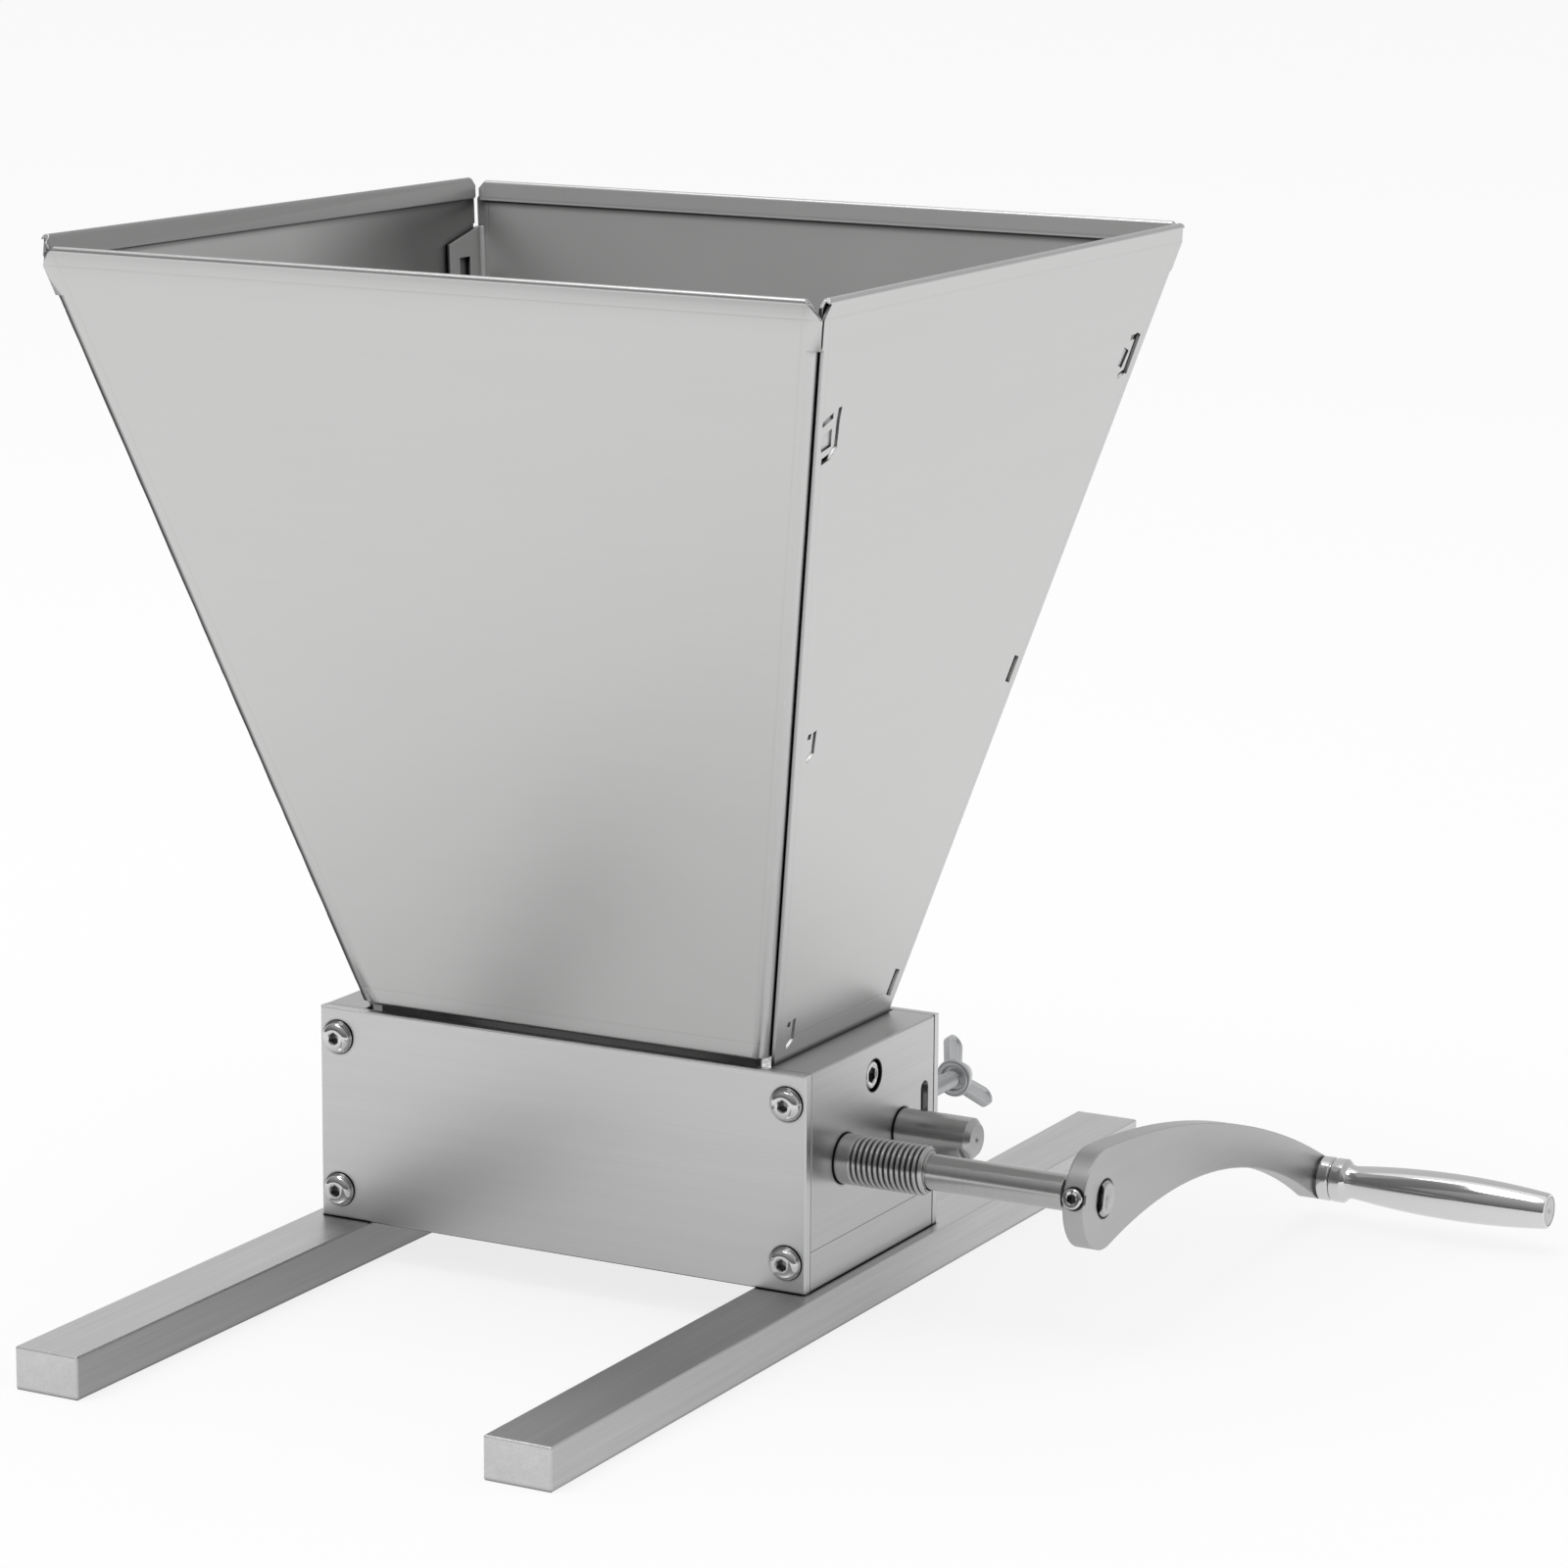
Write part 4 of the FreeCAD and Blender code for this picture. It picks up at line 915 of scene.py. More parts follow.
def dress(finish: Metal, *nodes: str) -> None:
    """Give CAD nodes a finish.

    Args:
        finish: The finish.
        nodes: The nodes' names.
    """
    for node in nodes:
        materials = frame["nodes"][node].data.materials
        materials.clear()
        materials.append(material_of(finish))
        log.info("%s: %s", node, finish.name)


def merged_copy(node: str) -> Shape:
    """Copy a CAD node's mesh, with its doubles merged.

    Args:
        node: The node's name.

    Returns:
        The copy, in place.
    """
    source = frame["nodes"][node]
    shape = bmesh.new()
    shape.from_mesh(source.data)
    bmesh.ops.transform(shape, matrix=source.matrix_world, verts=shape.verts)
    bmesh.ops.remove_doubles(shape, verts=shape.verts, dist=WELD)
    return shape


def joint_place(name: str) -> Vector:
    """Point on a joint's axis, at rest."""
    return Vector(next(joint["pos_m"] for joint in frame["joints"] if joint["name"] == name))


def pointing(direction: Vector, origin: Vector) -> Matrix:
    """Transform that takes a shape made along X to an origin, with X along a direction."""
    return Matrix.Translation(origin) @ direction.to_track_quat("X", "Z").to_matrix().to_4x4()


def spin_outline(shape: Shape, outline: list[tuple[float, float]],
                 segments: int = FINE_SEGMENTS) -> list[bmesh.types.BMVert]:
    """Spin an outline about the X axis.

    Args:
        shape: Mesh that takes the new faces.
        outline: Points of (distance along, radius).
        segments: Steps of a full turn.

    Returns:
        The new vertices.
    """
    known = set(shape.verts)
    points = [shape.verts.new((along, radius, 0.0)) for along, radius in outline]
    edges = [shape.edges.new(pair) for pair in zip(points, points[1:])]
    bmesh.ops.spin(
        shape, geom=[*points, *edges], cent=(0, 0, 0), axis=(1, 0, 0), dvec=(0, 0, 0), angle=2 * math.pi,
        steps=segments, use_merge=True, use_duplicate=False)
    fresh = [vert for vert in shape.verts if vert not in known]
    bmesh.ops.remove_doubles(shape, verts=fresh, dist=WELD)
    return [vert for vert in shape.verts if vert not in known]


def wind_thread(shape: Shape, start: float, end: float, root: float, crest: float, pitch: float,
                segments: int = SCREW_SEGMENTS) -> None:
    """Wind a thread's ridge about the X axis.

    Args:
        shape: Mesh that takes the ridge.
        start: Where the thread starts.
        end: Where it ends.
        root: Radius of the core, which the ridge sinks into.
        crest: Radius of the ridge's top.
        pitch: Distance from ridge to ridge.
        segments: Steps of a full turn.
    """
    height = crest - root
    profile = [(0.0, root - THREAD_SINK)]
    profile += [(along * pitch, crest - drop * height) for along, drop in THREAD_FLANKS]
    profile.append((THREAD_FOOT * pitch, root - THREAD_SINK))
    points = [shape.verts.new((start + along, radius, 0.0)) for along, radius in profile]
    edges = [shape.edges.new(pair) for pair in zip(points, points[1:] + points[:1])]
    turns = (end - start) / pitch - THREAD_STOP
    steps = round(turns * segments)
    first = shape.faces.new(points)
    bmesh.ops.spin(
        shape, geom=[*points, *edges, first], cent=(0, 0, 0), axis=(1, 0, 0),
        dvec=(pitch / segments, 0, 0), angle=2 * math.pi * steps / segments, steps=steps,
        use_merge=False, use_duplicate=False)


def hexagon_reach(turn: float, flats: float) -> float:
    """Distance from a hexagon's middle to its side, in a direction."""
    sixth = math.pi / 3
    return flats / 2 / math.cos((turn + sixth / 2) % sixth - sixth / 2)


def sink_hexagon(shape: Shape, ring: list[bmesh.types.BMEdge], flats: float, lip: float,
                 depth: float) -> None:
    """Close a round mouth about the X axis with a hexagonal socket.

    Args:
        shape: The mesh.
        ring: Edges of the mouth.
        flats: Size of the socket across its flats.
        lip: Drop from the mouth to the socket's edge.
        depth: Drop from there to its floor.
    """
    grown = bmesh.ops.extrude_edge_only(shape, edges=ring)["geom"]
    for vert in (item for item in grown if isinstance(item, bmesh.types.BMVert)):
        turn = math.atan2(vert.co.z, vert.co.y)
        reach = hexagon_reach(turn, flats)
        vert.co = (vert.co.x - lip, reach * math.cos(turn), reach * math.sin(turn))
    edges = [item for item in grown if isinstance(item, bmesh.types.BMEdge)]
    sunk = bmesh.ops.extrude_edge_only(shape, edges=edges)["geom"]
    verts = [item for item in sunk if isinstance(item, bmesh.types.BMVert)]
    bmesh.ops.translate(shape, verts=verts, vec=(-depth, 0, 0))
    floor = [item for item in sunk if isinstance(item, bmesh.types.BMEdge)]
    bmesh.ops.contextual_create(shape, geom=floor)


def open_ring(verts: list[bmesh.types.BMVert], at: float) -> list[bmesh.types.BMEdge]:
    """Find the boundary edges that lie at one distance along X.

    Args:
        verts: Vertices to look at.
        at: The distance.

    Returns:
        The edges.
    """
    edges = {edge for vert in verts for edge in vert.link_edges}
    return [edge for edge in edges
            if edge.is_boundary and all(abs(vert.co.x - at) < WELD for vert in edge.verts)]


def add_socket_screw(shape: Shape, outline: list[tuple[float, float]], flats: float, lip: float, depth: float,
                     place: Matrix) -> None:
    """Add a screw with a hexagonal socket in its head.

    Args:
        shape: Mesh that takes it.
        outline: Points of (distance along, radius) from the screw's end to its top.
        flats: Size of the socket across its flats.
        lip: Drop from the top to the socket's edge.
        depth: Drop from there to its floor.
        place: Transform from the X axis.
    """
    known = set(shape.verts)
    top = outline[-1][0]
    verts = spin_outline(shape, [*outline, (top, flats * MOUTH_SHARE)], SCREW_SEGMENTS)
    sink_hexagon(shape, open_ring(verts, top), flats, lip, depth)
    bmesh.ops.transform(shape, matrix=place, verts=[vert for vert in shape.verts if vert not in known])


def add_shape(shape: Shape, other: Shape) -> None:
    """Add another shape to a shape.

    Args:
        shape: Shape that takes the other.
        other: The other, which is freed.
    """
    mesh = bpy.data.meshes.new("part")
    other.to_mesh(mesh)
    other.free()
    shape.from_mesh(mesh)
    bpy.data.meshes.remove(mesh)


def make_object(name: str, shape: Shape, material: bpy.types.Material) -> bpy.types.Object:
    """Turn a shape into an object of the scene.

    Args:
        name: The object's name.
        shape: The shape, in place. It is freed.
        material: Its material.

    Returns:
        The object.
    """
    mesh = bpy.data.meshes.new(name)
    shape.to_mesh(mesh)
    shape.free()
    mesh.materials.append(material)
    made = bpy.data.objects.new(name, mesh)
    bpy.context.scene.collection.objects.link(made)
    return made


@dataclass(frozen=True)
class Finishes:
    """Finishes of the mill's pieces."""

    hopper_front: HopperSheet = HopperSheet(
        "satin_sheet_front", 0.64, 0.36, Lay.STREAKS_X, "sheet_steel", corner=2.7 * MM)
    hopper_side: HopperSheet = HopperSheet(
        "satin_sheet_side", 0.64, 0.36, Lay.STREAKS_Y, "sheet_steel", facing=Facing.LEFT_RIGHT,
        inner_shades=(0.6, 0.37))
    plate: PlateMetal = PlateMetal(
        "brushed_plate", 0.68, 0.36, Lay.STREAKS_X, "brushed_aluminium", streak=0.07, wear_and_highlight=0.3)
    block: BlockMetal = BlockMetal(
        "brushed_block", 0.60, 0.34, Lay.STREAKS_Y, "brushed_aluminium", streak=0.12, depth=3e-6, wear_and_highlight=0.3)
    bar: BarMetal = BarMetal(
        "brushed_bar", 0.69, 0.36, Lay.STREAKS_Y, "brushed_aluminium", streak=0.22, depth=3e-6, wear_and_highlight=0.4)
    shaft: ShaftSteel = ShaftSteel(
        "turned_shaft", 0.52, 0.24, Lay.RINGS_X, "turned_steel", tint=WARM, streak=0.09)
    bright: HandleSteel = HandleSteel(
        "polished_steel", 0.67, 0.22, Lay.RINGS_X, "polished_steel", tint=WARM, fine=2500.0, streak=0.05,
        depth=0.8e-6)
    arm: ArmSteel = ArmSteel(
        "ground_arm", 0.53, 0.40, Lay.STREAKS_Y, "arm_steel", streak=0.06, cloud=0.08, depth=3e-6,
        edge=0.6 * MM)
    screw: Metal = Metal(
        "screw_steel", 0.62, 0.2, Lay.EVEN, "screw_steel", fine=600.0, streak=0.12, depth=3e-6,
        crevice_shade_floor=0.03)
    button: Metal = Metal(
        "button_steel", 0.66, 0.12, Lay.EVEN, "polished_steel", fine=500.0, depth=3e-6,
        crevice_shade_reach=2.2 * MM, crevice_shade_floor=0.01)
    zinc: ZincPlate = ZincPlate(
        "zinc_plate", 0.84, 0.16, Lay.EVEN, "zinc_plate", tint=COOL, fine=520.0, streak=0.6, depth=45e-6,
        wear_and_highlight=0.5, crevice_shade_reach=1.6 * MM, crevice_shade_floor=0.05)
    knurl: Metal = Metal("knurled_steel", 0.5, 0.34, Lay.EVEN, "knurled_steel", fine=700.0, depth=3e-6)
    bronze: Metal = Metal(
        "sintered_bronze", 0.55, 0.45, Lay.EVEN, "bush_bronze", tint=(1.0, 0.72, 0.42), fine=1500.0,
        streak=0.15, depth=6e-6)


FINISHES = Finishes()


@dataclass
class MillBody:
    """Base bars, end blocks and plates, with the screws that join them."""

    head_radius: float = 4.75 * MM
    under_bevel: tuple[float, float] = (0.25 * MM, 0.4 * MM)
    rim_height: float = 0.55 * MM
    rim_share: float = 0.8
    rim_inset: float = 0.2 * MM
    dome_start: float = 4.5 * MM
    dome_height: float = 2.75 * MM
    dome_top: float = 2.2 * MM
    top_share: float = 0.98
    dome_steps: int = 7
    socket_lip: float = 0.15 * MM
    socket: float = 3.0 * MM
    socket_depth: float = 1.9 * MM
    shank_radius: float = 2.5 * MM

    def build(self) -> None:
        """Dress the body and make its screws."""
        dress(FINISHES.bar, "base_bar_left", "base_bar_right")
        dress(FINISHES.block, "end_block_left", "end_block_right")
        dress(FINISHES.plate, "front_plate", "back_plate")
        dress(FINISHES.screw, "base_bar_screws", "lock_nuts")
        self.button_screws("front", Vector((0, -1, 0)))
        self.button_screws("back", Vector((0, 1, 0)))

    def button_screws(self, side: str, outward: Vector) -> None:
        """Make the four button-head screws of a plate.

        Args:
            side: The plate's side.
            outward: Way that the heads face.
        """
        node = f"{side}_plate_screws"
        low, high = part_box(node)
        plate_low, plate_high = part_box(f"{side}_plate")
        face = plate_low.y if outward.y < 0 else plate_high.y
        shank = (high.y - low.y) - self.dome_height
        shape = bmesh.new()
        for x in (low.x + self.head_radius, high.x - self.head_radius):
            for z in (low.z + self.head_radius, high.z - self.head_radius):
                self.button_screw(shape, shank, pointing(outward, Vector((x, face, z))))
        Piece(f"{side}_button_screws", Body.FRAME, FINISHES.button, (node,)).make(shape)

    def button_screw(self, shape: Shape, shank: float, place: Matrix) -> None:
        """Add one button-head screw.

        Args:
            shape: Mesh that takes it.
            shank: Length of the shank.
            place: Transform from the X axis.
        """
        dome = [(self.rim_height, self.head_radius - self.rim_inset), (self.rim_height, self.dome_start)]
        for step in range(1, self.dome_steps):
            turn = math.pi / 2 * step / self.dome_steps
            dome.append((self.rim_height + (self.dome_height - self.rim_height) * math.sin(turn),
                         self.dome_top + (self.dome_start - self.dome_top) * math.cos(turn)))
        outline = [(-shank, 0.0), (-shank, self.shank_radius), (0.0, self.shank_radius),
                   (0.0, self.head_radius - self.under_bevel[1]), (self.under_bevel[0], self.head_radius),
                   (self.rim_height * self.rim_share, self.head_radius), *dome,
                   (self.dome_height, self.dome_top * self.top_share)]
        add_socket_screw(shape, outline, self.socket, self.socket_lip, self.socket_depth, place)


@dataclass
class Hopper:
    """Four folded panels and the screws that hold their skirts."""

    cap_radius: float = 4.05 * MM
    cap_height: float = 5.0 * MM
    cap_bevel: float = 0.5 * MM
    cap_round: float = 0.3
    socket: float = 4.0 * MM
    socket_depth: float = 2.4 * MM
    shank_radius: float = 2.5 * MM
    past_nut: float = 6.0 * MM
    socket_lip: float = 0.2 * MM
    bend_radius: float = 2.2 * MM
    bend_play: float = 0.1 * MM
    bend_inset: float = 1.5 * MM
    sheet: float = 1.5 * MM
    lift_start: float = 200.0 * MM
    lift_front: float = 2.9 * MM
    lift_back: float = 0.9 * MM
    hem_end: float = 12.0 * MM
    hem_low: float = 7.0 * MM
    hem_reach: float = 1.9 * MM
    corner_push: tuple[tuple[float, float], ...] = (
        (0.0, 0.0), (0.4, 1.6 * MM), (0.8, 1.7 * MM), (1.15, 1.4 * MM), (math.pi / 2, 0.0))

    def build(self) -> None:
        """Dress the panels and make the fixing screws."""
        self.front_panel()
        self.left_panel()
        dress(FINISHES.hopper_front, "hopper_back_panel")
        dress(FINISHES.hopper_side, "hopper_right_panel")
        dress(FINISHES.screw, "hopper_fixing_nuts")
        low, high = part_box("hopper_fixing_screws")
        seat = high.x - self.cap_height
        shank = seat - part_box("hopper_fixing_nuts")[1].x + self.past_nut
        level = (low.z + high.z) / 2
        shape = bmesh.new()
        for side in (-1, 1):
            self.cap_screw(shape, shank, pointing(Vector((side, 0, 0)), Vector((side * seat, 0, level))))
        Piece("hopper_cap_screws", Body.FRAME, FINISHES.button, ("hopper_fixing_screws",)).make(shape)

    def front_panel(self) -> None:
        """Make the front panel, whose left corner is folded sharper than the right one."""
        shape = merged_copy("hopper_front_panel")
        width = HopperWalls().outline(Facing.FRONT_BACK)
        depth = HopperWalls().outline(Facing.LEFT_RIGHT)
        middle = self.bend_inset + self.bend_radius
        for vert in shape.verts:
            above = vert.co.z - width["Bend"]
            across = middle - width["Half Width"] - width["Slope"] * above - vert.co.x
            back = self.bend_radius - depth["Half Width"] - depth["Slope"] * above - vert.co.y
            distance = math.hypot(across, back)
            inside = self.bend_radius - self.sheet
            on_bend = inside - self.bend_play < distance < self.bend_radius + self.bend_play
            turn = math.atan2(across, back)
            if on_bend and 0 < turn < math.pi / 2:
                vert.co.x -= self.push(turn)
        Piece("hopper_front_sheet", Body.FRAME, FINISHES.hopper_front, ("hopper_front_panel",)).make(shape)

    def left_panel(self) -> None:
        """Make the left panel, whose hem stands higher than the other three, most of all in front."""
        shape = merged_copy("hopper_left_panel")
        low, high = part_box("hopper_left_panel")
        for vert in shape.verts:
            if vert.co.y < low.y + self.hem_end and vert.co.z > high.z - self.hem_low:
                vert.co.y -= self.hem_reach
            up = max(0.0, (vert.co.z - self.lift_start) / (high.z - self.lift_start))
            forward = (high.y - vert.co.y) / (high.y - low.y)
            vert.co.z += up * (self.lift_back + (self.lift_front - self.lift_back) * forward)
        Piece("hopper_left_sheet", Body.FRAME, FINISHES.hopper_side, ("hopper_left_panel",)).make(shape)

    def push(self, turn: float) -> float:
        """Way outwards of the sharper bend.

        Args:
            turn: Angle on the bend, from the front panel's side.

        Returns:
            The way, which is 0 off the bend.
        """
        for (start, low), (end, high) in zip(self.corner_push, self.corner_push[1:]):
            if start <= turn <= end:
                return low + (high - low) * (turn - start) / (end - start)
        return 0.0

    def cap_screw(self, shape: Shape, shank: float, place: Matrix) -> None:
        """Add one socket-head cap screw.

        Args:
            shape: Mesh that takes it.
            shank: Length of the shank.
            place: Transform from the X axis.
        """
        outline = [(-shank, 0.0), (-shank, self.shank_radius), (0.0, self.shank_radius),
                   (0.0, self.cap_radius), (self.cap_height - self.cap_bevel, self.cap_radius),
                   (self.cap_height - self.cap_round * self.cap_bevel,
                    self.cap_radius - self.cap_round * self.cap_bevel),
                   (self.cap_height, self.cap_radius - self.cap_bevel)]
        add_socket_screw(shape, outline, self.socket, self.socket_lip, self.socket_depth, place)


@dataclass
class RollerGear:
    """Shafts, knurled rollers, bushes and washers."""

    thread_start: float = 4.5 * MM
    thread_pitch: float = 1.68 * MM
    thread_depth: float = 0.65 * MM
    thick_reach: float = 27.0 * MM
    thick_radius: float = 7.0 * MM
    thin_radius: float = 5.0 * MM
    run_in: float = 0.6 * MM
    run_out: float = 1.2 * MM
    shoulder_bevel: tuple[float, float] = (0.2 * MM, 0.25 * MM)
    shoulder_play: float = 0.35 * MM
    flat_inset: float = 1.8 * MM
    flat_length: float = 12.0 * MM
    end_bevel: float = 0.8 * MM
    centre_radius: float = 1.0 * MM
    centre_depth: float = 0.6 * MM
    knurl_pitch: float = 2.4 * MM
    knurl_depth: float = 0.45 * MM
    knurl_samples: int = 4
    knurl_crease: float = math.radians(60)
    drive_bore: float = 7.1 * MM
    idle_bore: float = 8.2 * MM
    roller_bevel: float = 0.8 * MM

    def build(self) -> None:
        """Make the threaded shaft and the rollers, and dress the rest."""
        dress(FINISHES.shaft, "gap_shaft")
        dress(FINISHES.bronze, "drive_bushes", "idle_bushes")
        dress(FINISHES.screw, "idle_washers")
        self.drive_shaft()
        self.knurled_roller("drive_roller", Body.DRIVE, self.drive_bore)
        self.knurled_roller("idle_roller", Body.IDLE, self.idle_bore)

    def drive_shaft(self) -> None:
        """Make the drive shaft with its thread and its flat."""
        low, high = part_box("drive_shaft")
        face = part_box("end_block_right")[1].x
        shoulder = face + self.thick_reach
        flat_start = high.x - self.flat_length
        root = self.thick_radius - self.thread_depth
        shape = bmesh.new()
        spin_outline(shape, [
            (low.x, 0.0), (low.x, self.thick_radius - self.end_bevel),
            (low.x + self.end_bevel, self.thick_radius),
            (face + self.thread_start, self.thick_radius), (face + self.thread_start + self.run_in, root),
            (shoulder - self.run_out, root),
            (shoulder - self.shoulder_bevel[0], self.thin_radius + self.shoulder_bevel[1]),
            (shoulder, self.thin_radius), (flat_start, self.thin_radius), (flat_start, 0.0)])
        wind_thread(shape, face + self.thread_start, shoulder + 0.5 * self.thread_pitch, root,
                    self.thick_radius, self.thread_pitch, FINE_SEGMENTS // 2)
        for vert in shape.verts:
            radius = math.hypot(vert.co.y, vert.co.z)
            limit = self.thin_radius + self.shoulder_play + max(0.0, shoulder - vert.co.x)
            if vert.co.x > shoulder - 2 * self.run_out and radius > limit:
                vert.co.y *= limit / radius
                vert.co.z *= limit / radius
        seat = bmesh.new()
        spin_outline(seat, [
            (flat_start, 0.0), (flat_start, self.thin_radius), (high.x - self.end_bevel, self.thin_radius),
            (high.x, self.thin_radius - self.end_bevel), (high.x, self.centre_radius),
            (high.x - self.centre_depth, 0.0)])
        cut = bmesh.ops.bisect_plane(
            seat, geom=[*seat.verts, *seat.edges, *seat.faces], dist=WELD,
            plane_co=(0, self.flat_inset - self.thin_radius, 0), plane_no=(0, -1, 0), clear_outer=True)
        rim = [item for item in cut["geom_cut"] if isinstance(item, bmesh.types.BMEdge)]
        bmesh.ops.contextual_create(seat, geom=rim)
        bmesh.ops.transform(seat, matrix=Matrix.Rotation(Crank.angle(), 4, "X"), verts=seat.verts)
        add_shape(shape, seat)
        bmesh.ops.translate(shape, verts=shape.verts, vec=joint_place("crank"))
        Piece("threaded_drive_shaft", Body.DRIVE, FINISHES.shaft, ("drive_shaft",)).make(shape)

    def knurled_roller(self, node: str, body: Body, bore: float) -> None:
        """Make a roller with a diamond knurl.

        Args:
            node: CAD node that it replaces.
            body: Body that it rides on.
            bore: Radius of its bore.
        """
        low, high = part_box(node)
        radius = (high.z - low.z) / 2
        length = high.x - low.x - 2 * self.roller_bevel
        around = round(2 * math.pi * radius / self.knurl_pitch)
        rows = round(length / self.knurl_pitch) * self.knurl_samples
        start = low.x + self.roller_bevel
        outline = [(low.x, bore), (low.x, radius - self.roller_bevel)]
        outline += [(start + length * row / rows, radius) for row in range(rows + 1)]
        outline += [(high.x, radius - self.roller_bevel), (high.x, bore), (low.x, bore)]
        shape = bmesh.new()
        spin_outline(shape, outline, around * self.knurl_samples)
        for vert in shape.verts:
            reach = math.hypot(vert.co.y, vert.co.z)
            if reach > radius - WELD and start + WELD < vert.co.x < start + length - WELD:
                turn = math.atan2(vert.co.z, vert.co.y) * around / (2 * math.pi)
                along = (vert.co.x - start) / self.knurl_pitch
                ridge = min(abs(math.sin(math.pi * place)) for place in (turn + along, turn - along))
                share = 1 - self.knurl_depth * (1 - ridge) / radius
                vert.co.y *= share
                vert.co.z *= share
        middle = Vector((0, (low.y + high.y) / 2, (low.z + high.z) / 2))
        bmesh.ops.translate(shape, verts=shape.verts, vec=middle)
        Piece(f"{node}_knurled", body, FINISHES.knurl, (node,)).make(shape, self.knurl_crease)


@dataclass
class Crank:
    """Crank arm with its set screw, and the handle on its spindle."""

    collar_radius: float = 6.5 * MM
    collar_length: float = 4.0 * MM
    collar_groove: float = 0.6 * MM
    groove_depth: float = 1.0 * MM
    pin_radius: float = 3.0 * MM
    edge_round: float = 0.35 * MM
    collar_bevel: float = 0.3 * MM
    collar_round: float = 0.15 * MM
    shoulder: float = 0.3 * MM
    tail: float = 4.2 * MM
    play: float = 0.05 * MM
    rim_radius: float = 6.5 * MM
    rim_length: float = 4.0 * MM
    neck_radius: float = 4.85 * MM
    neck_at: float = 6.4 * MM
    grip_round: float = 0.7 * MM
    grip_corner: float = 0.2 * MM
    rim_bevel: tuple[float, float] = (0.5 * MM, 0.4 * MM)
    neck_round: tuple[float, float] = (0.8 * MM, 0.35 * MM)
    grip_steps: int = 28
    belly_radius: float = 6.85 * MM
    belly_at: float = 35.5 * MM
    end_radius: float = 5.2 * MM
    plug_radius: float = 4.3 * MM
    plug_play: float = 0.02 * MM
    plug_depth: float = 2.5 * MM
    plug_bevel: tuple[float, float] = (0.15 * MM, 0.25 * MM)
    mark_radius: float = 0.9 * MM
    mark_depth: float = 0.5 * MM
    set_screw_flats: float = 5.6 * MM
    set_screw_socket: float = 2.5 * MM
    set_screw_proud: float = 1.6 * MM
    set_screw_core: float = 2.4 * MM
    set_screw_length: float = 8.0 * MM
    set_screw_bevel: float = 0.4 * MM
    set_screw_gap: float = 0.2 * MM
    set_screw_lip: float = 0.15 * MM
    set_screw_depth: float = 1.6 * MM
    hub_radius: float = 14.0 * MM

    @staticmethod
    def angle() -> float:
        """Turn of the crank about X, from +Y, at rest."""
        hub, tip = joint_place("crank"), joint_place("grip_spin")
        return math.atan2(tip.z - hub.z, tip.y - hub.y)

    def build(self) -> None:
        """Dress the arm and make its screw and its handle."""
        dress(FINISHES.arm, "crank_arm")
        self.set_screw()
        self.spindle()
        self.grip()
        self.plug()

    def set_screw(self) -> None:
        """Make the set screw in the hub's edge."""
        low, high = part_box("crank_arm")
        along = Matrix.Rotation(self.angle(), 4, "X") @ Vector((0, -1, 0))
        hub = joint_place("crank") + Vector(((low.x + high.x) / 2, 0, 0))
        head = self.hub_radius + self.set_screw_proud
        foot = self.hub_radius - self.set_screw_length
        collar = self.hub_radius - self.set_screw_gap
        edge = self.set_screw_flats / 2
        shape = bmesh.new()
        add_socket_screw(shape, [
            (foot, 0.0), (foot, self.set_screw_core), (collar, self.set_screw_core), (collar, edge),
            (head - self.set_screw_bevel, edge), (head, edge - self.set_screw_bevel)],
            self.set_screw_socket, self.set_screw_lip, self.set_screw_depth, pointing(along, hub))
        Piece("crank_socket_screw", Body.DRIVE, FINISHES.button, ("crank_set_screw",)).make(shape)

    def spindle(self) -> None:
        """Make the spindle with its collar."""
        low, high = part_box("handle_spindle")
        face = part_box("crank_arm")[1].x
        groove = self.collar_radius - self.groove_depth
        start = face + self.collar_groove
        end = face + self.collar_length
        self.handle_piece("handle_spindle_bright", Body.DRIVE, FINISHES.bright, "handle_spindle", [
            (low.x, 0.0), (low.x, self.tail), (low.x + self.tail - self.pin_radius, self.pin_radius),
            (face, self.pin_radius), (face, groove), (start, groove),
            (start, self.collar_radius - self.collar_bevel),
            (start + self.collar_bevel, self.collar_radius), (end - self.edge_round, self.collar_radius),
            (end - self.collar_round, self.collar_radius - self.collar_round),
            (end, self.collar_radius - self.edge_round),
            (end + self.shoulder, self.collar_radius - self.edge_round),
            (end + self.shoulder, self.pin_radius), (high.x, self.pin_radius), (high.x, 0.0)])

    def grip(self) -> None:
        """Make the revolving grip with its rim, neck and long belly."""
        low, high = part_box("handle_grip")
        length = high.x - low.x
        belly = []
        for step in range(self.grip_steps + 1):
            along = self.neck_at + (length - self.grip_round - self.neck_at) * step / self.grip_steps
            belly.append((low.x + along, self.belly(along, length)))
        bore = self.pin_radius + self.play
        mouth = self.plug_radius + self.plug_play
        self.handle_piece("handle_grip_bright", Body.GRIP, FINISHES.bright, "handle_grip", [
            (low.x, bore), (low.x, self.rim_radius - self.grip_round),
            (low.x + self.grip_corner, self.rim_radius - self.grip_corner),
            (low.x + self.grip_round, self.rim_radius),
            (low.x + self.rim_length - self.rim_bevel[0], self.rim_radius),
            (low.x + self.rim_length, self.rim_radius - self.rim_bevel[1]),
            (low.x + self.rim_length + self.neck_round[0], self.neck_radius + self.neck_round[1]), *belly,
            (high.x - self.grip_corner, self.end_radius - self.grip_corner),
            (high.x, self.end_radius - self.grip_round),
            (high.x, mouth), (high.x - self.plug_depth, mouth), (high.x - self.plug_depth, bore),
            (low.x, bore)])

